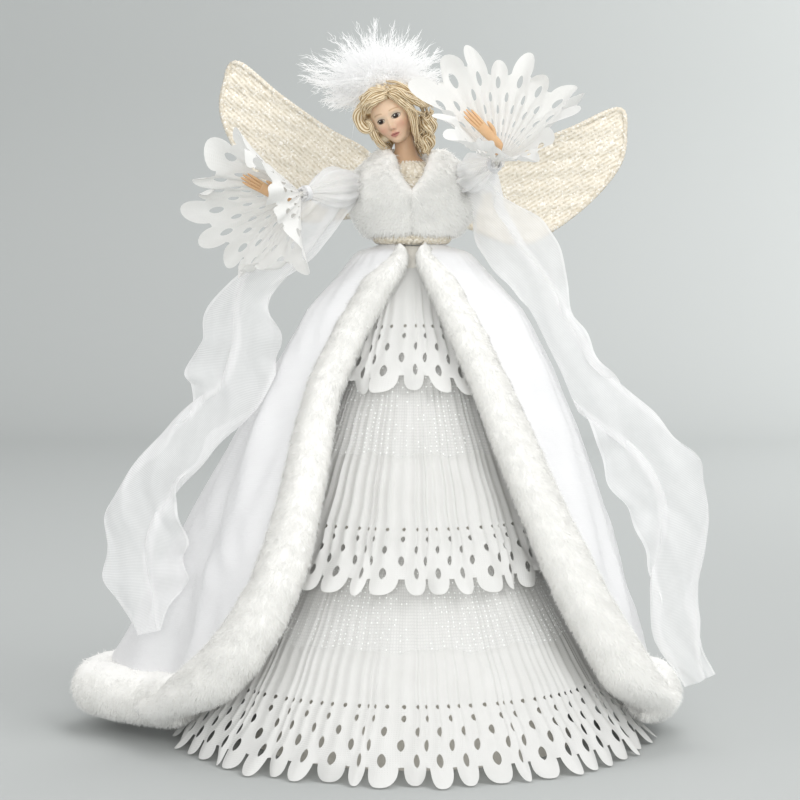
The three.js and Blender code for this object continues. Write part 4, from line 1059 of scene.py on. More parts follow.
# %% Front edges, hem and stole
EDGE_LIFT = 3.5  # the edges run up to the belt
EDGE_TUCK = 18.0  # length over which they thin out on the way there
EDGE_WIDER = {1: 1.85, -1: 1.6}  # how far the plush spreads over the coat
FOOT_BEND = 40.0  # height over which the edges turn aside into the hem
FOOT_LIFT, FOOT_TURN = 8.0, 9.0  # how far they rise there, and turn in degrees
HEM_BACK, HEM_LIFT = 3.0, 6.0  # degrees by which the hem's ends draw back under the edges, and their rise
STOLE_SHUT = 308.0  # height under which the two halves of the stole meet
STOLE_SLOPE = 0.26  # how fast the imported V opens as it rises
STOLE_BACK = 1.6  # the back lies flatter, clear of the wings


def edge_shape(side):
    """Moves a front edge: wider over the coat, thin at the belt and turned aside at its foot."""
    def shape(points):
        z = points[:, 2]
        radius, angle = polar(points)
        mid_angle, mid_radius = edge_at(side, z)
        tuck = smooth(z, z.max() - EDGE_TUCK, z.max() - 2)
        off = side * angle - mid_angle
        off = (off + np.maximum(off, 0) * (EDGE_WIDER[side] - 1)) * (1 - 0.45 * tuck)
        radius = mid_radius + (radius - mid_radius) * (1 - 0.5 * tuck) - 3.5 * tuck
        angle = mid_angle * (1 - 0.3 * tuck) + off
        foot = smooth(z, z.min() + FOOT_BEND, z.min()) ** 1.5
        turned = angle + FOOT_TURN * foot
        flare = coat_radius(side * turned, z) - coat_radius(side * angle, z)
        return around(radius + flare * foot, side * turned, z + EDGE_LIFT * tuck + FOOT_LIFT * foot)
    return shape


def hem_shape(points):
    """Draws the ends of the hem back under the front edges."""
    z = points[:, 2]
    radius, angle = polar(points)
    side = np.where(angle > 0, 1, -1)
    past = np.abs(angle) - np.where(side > 0, edge_at(1, z)[0], edge_at(-1, z)[0])
    end = smooth(past, 22, 2)
    return around(radius - 2.0 * end, angle + side * HEM_BACK * end, z + HEM_LIFT * end)


def stole_shape(side):
    """Shuts the stole's V low down and lays its back flatter."""
    def shape(points):
        x, y, z = points.T
        pull = STOLE_SLOPE * (np.minimum(z, STOLE_SHUT) - z.min()) + 0.6
        pull = pull * smooth(z, STOLE_SHUT + 16, STOLE_SHUT) * smooth(-y, 0, 12)
        pull = pull * np.clip(1.2 - np.abs(x) / 26, 0, 1)
        behind = STOLE_BACK * smooth(y, 6, 18)
        return points - np.stack([side * pull, behind, 0 * pull], 1)
    return shape


for side, name in ((1, "left"), (-1, "right")):
    fur(f"fur_edge_{name}", f"coat_trim_{name}", 0.3, 3.0, (0.3 * side, 0, -1.2), 7 - side,
        swell=0.8, shape=edge_shape(side))
    fur(f"fur_stole_of_{name}_half", f"fur_stole_{name}", 0.3, 3.2, (0.5 * side, -0.1, -1.0), 10 - side,
        swell=2.0, shape=stole_shape(side))
fur("fur_hem", "coat_hem_fur", 0.5, 3.2, (0, 0, -1.1), 8, swell=2.0, voxel=2.6, shape=hem_shape)

# %% [markdown]
# ## Head
#
# The head is a resin casting with painted features, turned and tipped as the photograph shows. It is
# modelled as a ball whose pole is the tip of the face, so that points crowd where the features are. Each
# feature is a soft swelling or hollow with a place, a width and a height. The paint uses the same places.

# %% Where the head sits
HEAD_PLACE = (-12.0, -7.0, 356.0)
HEAD_ROLL, HEAD_TURN, HEAD_NOD = -23, -12, 4  # degrees
HEAD_HALF = np.array([11.3, 13.2, 16.8])
head_frame = (
    Matrix.Rotation(math.radians(HEAD_ROLL), 3, "Y")
    @ Matrix.Rotation(math.radians(HEAD_TURN), 3, "Z")
    @ Matrix.Rotation(math.radians(HEAD_NOD), 3, "X")
)
head_axes = np.array(head_frame)


def on_head(points):
    """From the head's own frame to the shared one: x to the doll's left, y to its back, z up."""
    return np.asarray(points, float) @ head_axes.T + HEAD_PLACE


def spot(x, z, at, size):
    """A soft round spot on the face, 1 at its middle."""
    return np.exp(-((x - at[0]) / size[0]) ** 2 - ((z - at[1]) / size[1]) ** 2)


def pair(x, z, at, size):
    """The same spot on both sides of the face."""
    return spot(x, z, at, size) + spot(x, z, (-at[0], at[1]), size)


# %% The face
EYE = (4.6, -1.6)
EYE_HALF = (2.35, 1.3)
MOUTH = (0.0, -10.9)
CHIN_PUSH = [  # height, and how far the jaw comes forward there
    (-16.8, 5.4), (-14.5, 4.2), (-12, 2.4), (-8, 0.6), (-5, 0),
]
FEATURES = [  # how far each stands out, its place and its size. Those off the middle come in pairs
    (2.5, (0, -6.9), (1.35, 1.3)),  # tip of the nose
    (1.7, (0, -4.2), (1.15, 2.4)),  # bridge of the nose
    (0.8, (1.5, -7.4), (0.75, 0.8)),  # sides of the nose
    (-0.45, (0, -8.9), (1.4, 0.6)),  # hollow over the lip
    (-1.5, EYE, (2.9, 1.9)),  # sockets
    (1.15, EYE, (1.9, 1.05)),  # eyes
    (0.55, (4.8, 1.7), (3.2, 1.0)),  # brows
    (0.9, (5.9, -6), (3.0, 3.0)),  # cheeks
    (0.75, (0, MOUTH[1] + 0.75), (2.3, 0.6)),  # upper lip
    (0.95, (0, MOUTH[1] - 0.95), (1.9, 0.75)),  # lower lip
    (-0.6, MOUTH, (2.6, 0.26)),  # line of the mouth
    (-0.35, (0, -12.9), (2.2, 0.6)),  # hollow under the lip
    (0.6, (0, -14.6), (2.3, 1.5)),  # chin
]
RINGS, SPOKES = 150, 300

theta = np.linspace(0.004, np.pi - 0.004, RINGS) ** 1.15 / np.pi ** 0.15
phi = np.linspace(0, 2 * np.pi, SPOKES, endpoint=False)
theta, phi = np.meshgrid(np.minimum(theta, np.pi - 0.004), phi, indexing="ij")
x = HEAD_HALF[0] * np.sin(theta) * np.cos(phi)
z = HEAD_HALF[2] * np.sin(theta) * np.sin(phi)
y = -HEAD_HALF[1] * np.cos(theta)
front = smooth(-y, -1, 5)
x = x * (1 - 0.24 * smooth(-z, 3, 15) * (0.4 + 0.6 * front))
jaw = np.interp(z, *np.array(CHIN_PUSH).T) * spot(x, 0 * z, (0, 0), (7.5, 1))
forward = jaw
for height, at, size in FEATURES:
    forward = forward + height * (pair if at[0] else spot)(x, z, at, size)
face = np.stack([x, y - forward * front, z], -1)

# %% Paint on the face
skin = np.array(linear("#e0c3a6")[:3])


def brush(colours, colour, share):
    """Lays a colour on the paint, with a share for each point."""
    share = np.clip(share, 0, 1)[..., None]
    return colours * (1 - share) + np.array(linear(colour)[:3]) * share


def disc(x, z, at, half, soft=0.12):
    """1 inside an ellipse and 0 outside, with a soft edge."""
    return smooth(np.hypot((x - at[0]) / half[0], (z - at[1]) / half[1]), 1 + soft, 1 - soft)


def stripe(off, half):
    """A soft painted stripe, 1 on its middle line, from how far off it a point is."""
    return np.exp(-(off / half) ** 2)


def paint_on(made, colours):
    """Stores a linear colour for each point of a piece, for the skin's finish to read."""
    full = np.ones((len(colours), 4), np.float32)
    full[:, :3] = colours
    made.data.color_attributes.new("paint", "FLOAT_COLOR", "POINT").data.foreach_set("color", full.ravel())


mirrored = np.abs(x)
gaze = np.where(x > 0, x - EYE[0], x + EYE[0]) + 0.15
iris = (0, EYE[1] + 0.1)
eye = disc(mirrored, z, EYE, EYE_HALF)
lash = np.hypot((mirrored - EYE[0]) / EYE_HALF[0], (z - EYE[1]) / EYE_HALF[1]) - 1.02
brow = z - (EYE[1] + 4.3 - 0.06 * (mirrored - 4.6) ** 2)
bow = MOUTH[1] + 1.25 - 0.25 * np.exp(-(x / 0.5) ** 2) - 0.13 * x ** 2 - z
under = z - (MOUTH[1] - 1.6 + 0.2 * x ** 2)
strokes = [  # colour and share, laid one over the other: blush, lids, brows, eyes, lashes, lips and nostrils
    ("#cf937d", 0.6 * pair(x, z, (5.6, -6.8), (3.2, 2.6))),
    ("#cc9480", 0.45 * spot(x, z, (0, -10.5), (4.5, 3.5))),
    ("#c4977c", 0.4 * spot(x, z, (0, -7.6), (1.8, 1.0))),
    ("#bdb3a6", 0.75 * spot(mirrored, z, (EYE[0], EYE[1] + 1.5), (2.6, 0.9))),
    ("#a27d54", 0.6 * stripe(brow, 0.42) * smooth(mirrored, 1.7, 2.6) * smooth(mirrored, 8, 6.8)),
    ("#d8cdbd", eye),
    ("#3a2415", disc(gaze, z, iris, (1.75, 1.5)) * eye),
    ("#120b07", disc(gaze, z, iris, (0.95, 0.95))),
    # The small pale dot in each eye is a painted highlight.
    ("#f4efe8", disc(gaze, z, (-0.45, EYE[1] + 0.6), (0.28, 0.28))),
    ("#2b1a10", 0.95 * stripe(lash, 0.16) * smooth(z, EYE[1] - 0.2, EYE[1] + 0.4)),
    ("#6b4a34", 0.6 * stripe(lash, 0.12) * smooth(z, EYE[1] + 0.2, EYE[1] - 0.4)),
    ("#b3736a", 0.85 * smooth(bow, -0.1, 0.25) * smooth(under, -0.1, 0.3) * smooth(mirrored, 3.0, 2.4)),
    ("#7d463f", 0.7 * stripe(z - MOUTH[1], 0.2) * smooth(mirrored, 2.8, 2.0)),
    ("#8a5c47", 0.5 * spot(x, z, (0.9, -8.0), (0.4, 0.3))),
    ("#8a5c47", 0.5 * spot(x, z, (-0.9, -8.0), (0.4, 0.3))),
]
colours = np.broadcast_to(skin, (*x.shape, 3))
for colour, share in strokes:
    colours = brush(colours, colour, share)
print("face:", x.size, "points,", len(strokes), "brush strokes, eyes", 2 * EYE[0], "mm apart")

# %% Neck and shoulder plate
# The neck rises straight from the plate and meets the head behind the jaw.
NECK = np.array([  # place of each station, half its width and half its depth
    (0, 0, 323.2, 15, 10), (-1.2, 0, 326.2, 12.5, 8.6), (-2.6, 0, 328.6, 7.6, 7.0), (-3.4, 0, 332, 5.9, 6.0),
    (-3.9, 0, 338, 5.6, 5.9), (-5.2, -0.8, 344, 5.8, 6.3), (-7.5, -2, 350, 6.2, 6.8),
])
NECK_ROWS, NECK_SIDES = 26, 40
stations = curve(NECK[:, :3], NECK_ROWS)
share = np.linspace(0, 1, NECK_ROWS)
wide, deep = (np.interp(share, np.linspace(0, 1, len(NECK)), NECK[:, k])[:, None] for k in (3, 4))
turn = circle(NECK_SIDES)
rounds = np.stack(np.broadcast_arrays(wide * np.cos(turn), deep * np.sin(turn), 0.0), -1)
neck = (stations[:, None] + rounds).reshape(-1, 3)
points, faces, _ = bundle([
    (on_head(face.reshape(-1, 3)), capped_faces(RINGS, SPOKES)), (neck, capped_faces(NECK_ROWS, NECK_SIDES)),
])
head = piece("painted_head", "doll", "skin_resin", points, faces, skin_resin, weld=0.002)
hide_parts("head")

# %% Paint on the head
# Welding renumbers the points, so each one looks up its paint at its own place.
# The neck and shoulder plate are painted darker tan, as painted shade under the head.
neck_shaded_colours = brush(np.broadcast_to(skin, neck.shape), "#b88f69", np.full(len(neck), 0.55))
every_colour = np.concatenate([colours.reshape(-1, 3), neck_shaded_colours])
paint_at = KDTree(len(points))
for i, p in enumerate(points):
    paint_at.insert(p, i)
paint_at.balance()
paint_on(head, every_colour[[paint_at.find(v.co / MM)[1] for v in head.data.vertices]])
print("head:", len(head.data.vertices), "points with the neck")

# %% [markdown]
# ## Hair
#
# The hair is cast with the head and painted, so it is made of thick sculpted locks and not of fibres. A cap
# with comb grooves covers the skull. Locks sweep both ways from the parting, one rolls up at the temple, and
# ringlets hang at the other side and down the back.

# %% Cap with comb grooves
HAIRLINE = [  # x, and the lowest z of the hair there
    (-13, -9), (-11, 1.5), (-8, 6.5), (-3, 9.0), (2, 9.5), (5.5, 8.0), (9, 3.0), (12, -7),
]
HAIR_THICK = 2.3
CAP_ROWS, CAP_COLUMNS = 104, 208
theta = np.linspace(0.01, np.pi - 0.01, CAP_ROWS)
phi = np.linspace(0, 2 * np.pi, CAP_COLUMNS, endpoint=False)
theta, phi = np.meshgrid(theta, phi, indexing="ij")
way = np.stack([np.sin(theta) * np.cos(phi), -np.cos(theta), np.sin(theta) * np.sin(phi)], -1)
x, y, z = (way * HEAD_HALF).transpose(2, 0, 1)
line = np.interp(x, *np.array(HAIRLINE).T)
covered = np.maximum(smooth(z - line, -0.6, 1.2), smooth(y, -2.5, 0.5)) * smooth(z, -15.5, -11)
comb = np.arctan2(x - 4, np.abs(z - 6) + 6) * 26 + 0.35 * y + 0.6 * np.sin(0.5 * z)
thick = HAIR_THICK * covered - 0.9 * (1 - covered) + 0.45 * covered * np.cos(comb)
cap = on_head((way * (HEAD_HALF + thick[..., None])).reshape(-1, 3))
# The cap's shade is low in its comb grooves, which the hair's finish paints darker as shade.
hair_parts = [(cap, capped_faces(CAP_ROWS, CAP_COLUMNS), (0.4 + 0.4 * np.cos(comb)).ravel())]
print("cap:", len(cap), "points")

# %% Locks
LOCK_SIDES, STRAND_SIDES = 36, 16
RINGLET_ROWS = 60


def lock(spots, thick, sides=LOCK_SIDES, ridges=9, ridge=0.07, twist=0.2, count=40):
    """A tapered lock through spots in the head's frame."""
    line = curve(on_head(spots), count)
    share = np.linspace(0, 1, count)
    radii = thick * (0.06 + 0.94 * np.sin(np.pi * np.clip(share * 0.9 + 0.1, 0, 1)) ** 0.6)
    radii = radii * (1 + 0.08 * np.sin(share * 21 + 5 * thick))
    return sweep(line, radii, sides, 0.75, ridges, ridge, twist)


def ringlet(top, foot, coil, thick, turns, start, sides=LOCK_SIDES):
    """A hanging curl that winds round the line from its top to its foot, in the shared frame."""
    share = np.linspace(0, 1, RINGLET_ROWS)[:, None]
    angle = start + 2 * np.pi * turns * share
    wide = coil * np.sin(np.pi * np.clip(0.12 + 0.8 * share, 0, 1))
    line = np.asarray(top) + (np.asarray(foot) - np.asarray(top)) * share
    line = line + np.concatenate([wide * np.cos(angle), wide * np.sin(angle), 0 * angle], 1)
    radii = thick * np.sin(np.pi * np.clip(0.1 + 0.83 * share[:, 0], 0, 1)) ** 0.7
    radii = radii * (1 + 0.12 * np.sin(9 * share[:, 0] + 3 * start))
    return sweep(line, radii, sides, 0.7, 7 if sides == LOCK_SIDES else 5, 0.09, 0.3)


# %% Where the locks lie
WAVES = [  # locks from the parting, in the head's frame
    ([(5, -11, 12), (-1, -12.5, 12), (-7, -11, 10.5), (-11.5, -7, 7.5), (-13.5, -3, 3)], 3.0),
    ([(5, -9, 14), (-1, -10, 15), (-7, -8.5, 13.5), (-12, -5, 10), (-14.5, -1, 5)], 3.0),
    ([(4, -12.5, 10.2), (-2, -13.6, 10), (-6.5, -12.6, 8.6), (-10, -9.6, 6)], 2.1),
    ([(5.5, -12, 11), (8, -11, 7.5), (10.5, -9, 2.5), (13, -6.5, -2), (16.5, -4, -7)], 2.4),
    ([(7, -9, 9), (10.5, -8, 4), (12.5, -5.5, -1), (13, -3.5, -6), (12, -3, -12)], 2.6),
    ([(5.5, -10, 13), (10, -9, 9.5), (14, -7, 4.5), (17.5, -5, -0.5), (21, -5, -4)], 2.9),
    ([(5, -6, 15), (11, -6, 11.5), (16, -4, 6), (20, -3, 0.5), (22.5, -4, -5)], 3.0),
    ([(10, -8.5, 3), (11.6, -7.6, -3), (11, -6.6, -9), (9.2, -5.2, -15), (8, -4.5, -20)], 2.2),
    ([(-11, -7.5, 1), (-12.2, -6.5, -5), (-11.2, -5.5, -11), (-8.6, -4.6, -16)], 2.2),
    ([(3, 0, 17), (10, 2, 14), (15, 3, 7), (17.5, 3, 0), (17, 2, -7)], 3.3),
    ([(0, 1, 17.5), (-8, 2, 15), (-13.5, 3, 8), (-15, 4, 0), (-13, 5, -8)], 3.3),
]
TEMPLE = [
    (-10, -9.5, 10.5), (-14.5, -8, 9), (-16.8, -7, 5.5), (-16.8, -6.5, 1), (-14.6, -7, -2.6),
    (-11.8, -8, -2.8), (-11.2, -8.8, 0.4), (-13.2, -9, 2.4),
]
RINGLETS = [  # top, foot, coil radius, thickness, turns
    ((9.5, -9, 356), (6.5, -11, 334), 2.0, 2.5, 2.2),
    ((11.5, -6, 358), (9.5, -8, 333), 2.0, 2.4, 2.4),
    ((6, -7, 352), (4.5, -9, 338), 1.5, 2.0, 1.8),
    ((9, -1, 358), (8.5, -2, 335), 2.2, 2.6, 2.2),
    ((5, 4, 358), (5.5, 5, 334), 2.2, 2.7, 2.3),
    ((-1, 7, 358), (0, 8, 333), 2.2, 2.8, 2.2),
    ((-8, 8, 357), (-6, 9, 334), 2.2, 2.8, 2.4),
    ((-15, 6, 355), (-12, 7, 336), 2.2, 2.7, 2.2),
    ((-21, 2, 352), (-17, 3, 339), 2.0, 2.5, 1.8),
]
draw = np.random.default_rng(20)
for i, (spots, thick) in enumerate(WAVES):
    hair_parts.append(lock(spots, thick, ridges=8 + i % 2, ridge=0.08, twist=0.1 + 0.1 * (i % 3)))
    for loose in range(3):
        stray = np.array(spots) * draw.uniform(1.05, 1.14) + draw.normal(0, 0.9, (len(spots), 3))
        thin = thick * draw.uniform(0.3, 0.45)
        hair_parts.append(lock(stray, thin, STRAND_SIDES, 5, 0.08, twist=draw.uniform(0, 0.5)))
hair_parts.append(lock(TEMPLE, 2.9, twist=0.2, count=60))
for i, (top, foot, coil, thick, turns) in enumerate(RINGLETS):
    hair_parts.append(ringlet(top, foot, coil, thick, turns, start=1.3 * i))
    for loose in range(2):
        shift = draw.normal(0, 0.8, 3)
        ends = top + shift, foot + 1.5 * shift
        strand = ringlet(*ends, 1.35 * coil, 0.42 * thick, 0.8 * turns, 2.1 * loose + i, STRAND_SIDES)
        hair_parts.append(strand)
points, faces, shade = bundle(hair_parts)
hair = piece("sculpted_hair", "doll", "hair_resin", points, faces, hair_resin, shade=shade)
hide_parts("hair")
print("hair:", len(hair_parts) - 1, "locks,", len(faces), "faces")

# %% [markdown]
# ## Feathers
#
# A tuft of marabou stands behind and over the head. Marabou is a soft shaft with long loose barbs, so each
# plume is a bent shaft with barbs leaving it on all sides, and short down fills the middle.

# %% Plumes and barbs
draw = np.random.default_rng(11)
burst_low, burst_high = box_mm("halo_feathers")
TUFT = np.array([-18.0, 3.0, 371.0])
PLUMES = 150
BARBS = 30  # on each plume

lift = np.radians(draw.uniform(-112, 108, PLUMES))
tilt = draw.normal(0.05, 0.3, PLUMES)
aim = unit(np.stack([np.sin(lift), tilt, np.cos(lift)], 1))
room = np.where(aim > 0, burst_high - TUFT, TUFT - burst_low) * 1.08
length = 1 / np.sqrt(((aim / room) ** 2).sum(1)) * draw.uniform(0.55, 1.12, PLUMES)
plume_tips = TUFT + aim * length[:, None]
bends = draw.normal(0, 2.6, (PLUMES, 3))
parts = [strands(np.broadcast_to(TUFT, (PLUMES, 3)), plume_tips, bends, 0.3, rings=5)]

owner = np.repeat(np.arange(PLUMES), BARBS)
share = draw.uniform(0.25, 0.9, len(owner))[:, None]
roots = TUFT + aim[owner] * length[owner, None] * share + bends[owner] * 4 * share * (1 - share)
barb_length = length[owner] * draw.uniform(0.18, 0.5, len(owner)) * (1.15 - share[:, 0])
barb_aim = unit(aim[owner] + draw.normal(0, 0.26, (len(owner), 3)))
barb_tips = roots + barb_aim * barb_length[:, None]
parts.append(strands(roots, barb_tips, draw.normal(0, 1.0, roots.shape), 0.2, rings=3))

# %% Down in the middle
DOWN = 7000
CORE_SHIFT, CORE_HALF = np.array([0.0, -7.0, 4.0]), np.array([17.0, 9.0, 11.0])
ball_points, ball_faces = ball(5)
lumps = 1 + 0.12 * np.sin(ball_points @ (7, 3, 5)) * np.sin(ball_points @ (-4, 8, 6))
lumps = lumps + draw.normal(0, 0.03, len(ball_points))
core = TUFT + CORE_SHIFT + ball_points * CORE_HALF * lumps[:, None]

down_aim = unit(draw.normal(0, 1, (DOWN, 3)) + (0, 0, 0.35))
down_roots = TUFT + CORE_SHIFT + down_aim * CORE_HALF * 0.95
down_way = unit(down_aim + draw.normal(0, 0.45, (DOWN, 3)))
down_tips = down_roots + down_way * draw.gamma(2.2, 3.0, (DOWN, 1))
parts.append(strands(down_roots, down_tips, draw.normal(0, 0.8, (DOWN, 3)), 0.2, rings=2))
parts = [(np.clip(points, burst_low - 6, burst_high + 4), faces, shade) for points, faces, shade in parts]
burst = furred("marabou_tuft", "marabou", (core, ball_faces), parts, down_core, marabou)
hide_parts("halo_feathers")
print("feathers:", PLUMES, "plumes,", len(owner), "barbs,", DOWN, "down fibres")

# %% [markdown]
# ## Belt, bodice and neckline
#
# A cream cord of three twisted strands ties the waist. Above it the bodice is lace, seen only in the V of
# the stole, and a row of small pearls ends it at the neck.

# %% Twisted belt
belt_low, belt_high = box_mm("waist_belt")
belt_half = (belt_high[2] - belt_low[2]) / 2
belt_radius = (belt_high[0] - belt_low[0]) / 2 - belt_half
belt_z = (belt_low[2] + belt_high[2]) / 2
STRANDS, TWISTS, STEPS = 3, 15, 420
STRAND_OUT, STRAND_UP, STRAND_RADIUS = 0.42, 0.5, 0.62  # shares of half the belt's height
turn = np.linspace(0, 360, STEPS, endpoint=False)
parts = []
for k in range(STRANDS):
    wind = np.radians(TWISTS * turn + 360 * k / STRANDS)
    reach = belt_radius + STRAND_OUT * belt_half * np.cos(wind)
    core = around(reach, turn, belt_z + STRAND_UP * belt_half * np.sin(wind))
    core = np.concatenate([core, core[:1]])
    parts.append(sweep(core, STRAND_RADIUS * belt_half, 14, ridges=7, ridge=0.1, twist=30))
points, faces, _ = bundle(parts)
belt = piece("twisted_belt", "doll", "cream_lace", points, faces, cream_lace)
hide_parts("waist_belt")
print("belt:", STRANDS, "strands,", round(2 * belt_radius), "mm across")

# %% Lace bodice
(_, _, bodice_low), (_, _, bodice_high) = box_mm("bodice")
bodice_solid, torso_solid = rays("bodice"), rays("torso_form")
torso_top = box_mm("torso_form")[1][2]
LACE_CLEAR = 1.0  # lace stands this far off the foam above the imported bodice
BODICE_ROWS, BODICE_COLUMNS = 81, 240
BODICE_STEP = 4  # each fourth point is read and the rest are filled in
KNOTS_ROUND, KNOT_ROW, KNOT_OUT = 60, 3.0, 0.35  # number round, and millimetres up and out
heights = np.linspace(bodice_low + 0.2, torso_top - 0.2, BODICE_ROWS)
angles = np.arange(BODICE_COLUMNS) * 360 / BODICE_COLUMNS


def bodice_reach(angle, z):
    """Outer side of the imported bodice, or a little off the foam where the bodice has ended."""
    foam = span(torso_solid, angle, z)[1] + LACE_CLEAR
    return max(foam, span(bodice_solid, angle, z)[1]) if z < bodice_high else foam


some_angles, some_heights = angles[::BODICE_STEP], heights[::BODICE_STEP]
coarse = np.array([[bodice_reach(a + NUDGE, z) for a in some_angles] for z in some_heights])
radius = np.array([np.interp(angles, some_angles, row, period=360) for row in coarse])
radius = np.array([np.interp(heights, some_heights, column) for column in radius.T]).T
knots = np.sin(np.radians(angles * KNOTS_ROUND))[None] * np.sin(heights * 2 * np.pi / KNOT_ROW)[:, None]
grid_angle, grid_z = np.meshgrid(angles, heights)
points = around(radius + KNOT_OUT * np.abs(knots), grid_angle, grid_z)
girth = 2 * np.pi * radius.mean()
uv = np.stack([grid_angle / 360 * girth, grid_z], -1)
faces = grid_faces(BODICE_ROWS, BODICE_COLUMNS, True)
bodice = piece("lace_bodice", "doll", "cream_lace", points, faces, cream_lace, uv=uv)
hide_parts("bodice")
print(f"bodice: {girth:.0f} mm round")

# %% Lace collar
lace_top = box_mm("neck_lace")[1][2]
SCALLOPS = 22
COLLAR_ROWS = 10
COLLAR_UP, COLLAR_DROP = 0.8, 9.0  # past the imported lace's top, and down from there
COLLAR_TOP, COLLAR_FOOT = np.array([7.2, 6.8]), np.array([17.2, 12.4])  # half width and half depth
turn = np.linspace(0, 2 * np.pi, 12 * SCALLOPS, endpoint=False)
rows = []
for share in np.linspace(0, 1, COLLAR_ROWS):
    wide, deep = COLLAR_TOP + share * (COLLAR_FOOT - COLLAR_TOP)
    ripple = 1 + 0.05 * share * np.cos(SCALLOPS * turn)
    z = lace_top + COLLAR_UP - COLLAR_DROP * share ** 1.8 - 1.0 * share * np.abs(np.sin(SCALLOPS / 2 * turn))
    lean = -2.0 * (1 - share)
    rows.append(np.stack([lean + wide * ripple * np.cos(turn), deep * ripple * np.sin(turn), z], 1))
faces = grid_faces(COLLAR_ROWS, len(turn), True)
collar = piece("lace_collar", "doll", "cream_lace", np.concatenate(rows), faces, cream_lace)
thicken(collar, 0.5)
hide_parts("neck_lace")
print("collar:", SCALLOPS, "scallops")

# %% Pearls: moulded plastic with a pearl coat
# Cream with a soft shine, and a faint colour from the thin coat.
PEARL = 0.95
PEARLS = 26
pearl_coat, tree, shader = finish(
    "moulded_pearl", "#efe6d6", 0.25, coat_weight=0.5, thin_film_thickness=350.0
)
on_piece = add(tree, "ShaderNodeTexCoord").outputs["Object"]
lustre = add(tree, "ShaderNodeTexNoise", {"Vector": on_piece, "Scale": cell(2)})
surface(tree, shader, lustre.outputs["Fac"], "#e4d8c2", "#f8f3ea")
turn = circle(PEARLS)
ring = np.stack([-2.2 + 8.0 * np.cos(turn), 7.6 * np.sin(turn), np.full(PEARLS, lace_top + 0.3)], 1)
pearl_points, pearl_faces = ball(2, PEARL)
points, faces, _ = bundle([(pearl_points + at, pearl_faces) for at in ring])
piece("neckline_pearls", "doll", "cream_lace", points, faces, pearl_coat)
print("neckline:", PEARLS, "pearls")

# %% [markdown]
# ## Arms
#
# Each arm is a wire in a puffed organza sleeve, tied at the wrist. The same eyelet cloth makes the bell
# cuff, sixteen petals round, and a small resin hand points out of it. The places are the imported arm's: they
# start from the shoulder joint and give the wrist and the directions of the cuff and the hand.

# %% Arm plan
ARMS = {  # side, wrist from the shoulder, and the ways of the cuff and the hand, with x outwards
    "left": (1, (21.5, -37, 11), (0.05, -0.7, 0.72), (-0.66, -0.45, 0.64)),
    "right": (-1, (35.5, -38, -6), (0.7, -0.66, -0.27), (0.76, -0.5, 0.44)),
}
joints = {joint["name"]: np.array(joint["pos_m"]) / MM for joint in frame["joints"]}
SLEEVE_START = 7.0
SLEEVE_RADII = [4.5, 9, 11, 10.5, 7.5, 3.0, 3.4]
SLEEVE_PAST = 2.0  # how far the gathered end runs past the wrist
SLEEVE_ROWS, SLEEVE_COLUMNS = 60, 120
TIE_BACK, TIE_RADIUS = 3.0, 3.6  # middle of the wrist tie, from the wrist, and its radius


def arm_plan(name):
    """Where an arm starts and ends, and the ways of the arm, the cuff and the hand."""
    side, wrist, cuff, hand = ARMS[name]
    outward = np.array([side, 1, 1])
    shoulder = joints[f"{name}_shoulder"]
    end = shoulder + outward * wrist
    return {
        "side": side, "shoulder": shoulder, "wrist": end, "reach": float(np.linalg.norm(end - shoulder)),
        "run": unit(end - shoulder), "cuff": unit(outward * cuff), "hand": unit(outward * hand),
    }


def spokes(turn, way):
    """Directions square to a given one, at angles in radians round it."""
    away = (1.0, 0, 0) if abs(way[2]) > 0.9 else (0, 0, 1.0)
    u = unit(np.cross(away, way))
    return np.cos(turn)[:, None] * u + np.sin(turn)[:, None] * np.cross(way, u)


# %% Sleeves and wrist ties


def sleeve(name, arm, seed):
    """A puffed sleeve that is gathered at the wrist."""
    draw = np.random.default_rng(seed)
    stop = arm["reach"] + SLEEVE_PAST
    distance = np.linspace(SLEEVE_START, stop, SLEEVE_ROWS)
    radius = np.interp(distance, np.linspace(SLEEVE_START, stop, len(SLEEVE_RADII)), SLEEVE_RADII)
    radius = np.convolve(np.pad(radius, 3, mode="edge"), np.ones(7) / 7, mode="valid")
    turn = circle(SLEEVE_COLUMNS)
    down = np.linspace(0, 1, SLEEVE_ROWS)[:, None]
    gathers = 0.1 * np.sin(11 * turn + 3 * down) + 0.06 * np.sin(19 * turn - 4 * down)
    puff = 0.07 * np.sin(3 * turn + 7 * down + draw.uniform(0, 6))
    reach = radius[:, None] * (1 + gathers + puff)
    middle = arm["shoulder"] + arm["run"] * distance[:, None, None]
    points = middle + reach[..., None] * spokes(turn, arm["run"])
    uv = np.stack(np.broadcast_arrays(turn[None] * max(SLEEVE_RADII), distance[:, None]), -1)
    faces = grid_faces(SLEEVE_ROWS, SLEEVE_COLUMNS, True)
    made = piece(f"{name}_organza_sleeve", f"{name}_arm", "organza", points, faces, organza, uv=uv)
    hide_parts(f"{name}_sleeve")


def wrist_tie(name, arm):
    """Three turns of a satin cord round the wrist."""
    middle = arm["shoulder"] + arm["run"] * (arm["reach"] - TIE_BACK)
    turn = np.linspace(0, 2 * np.pi, 97)
    ring = middle + TIE_RADIUS * spokes(turn, arm["run"])
    parts = []
    for shift in (-1.0, 0.0, 1.0):
        line = ring + arm["run"] * (shift + 0.25 * np.sin(3 * turn))[:, None]
        parts.append(sweep(line, 0.75, 10, ridges=3, ridge=0.08, twist=6))
    points, faces, _ = bundle(parts)
    uv = points[:, [0, 2]]
    made = piece(f"{name}_satin_tie", f"{name}_arm", "coat_satin", points, faces, coat_satin, uv=uv)
    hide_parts(f"{name}_wrist_tie")


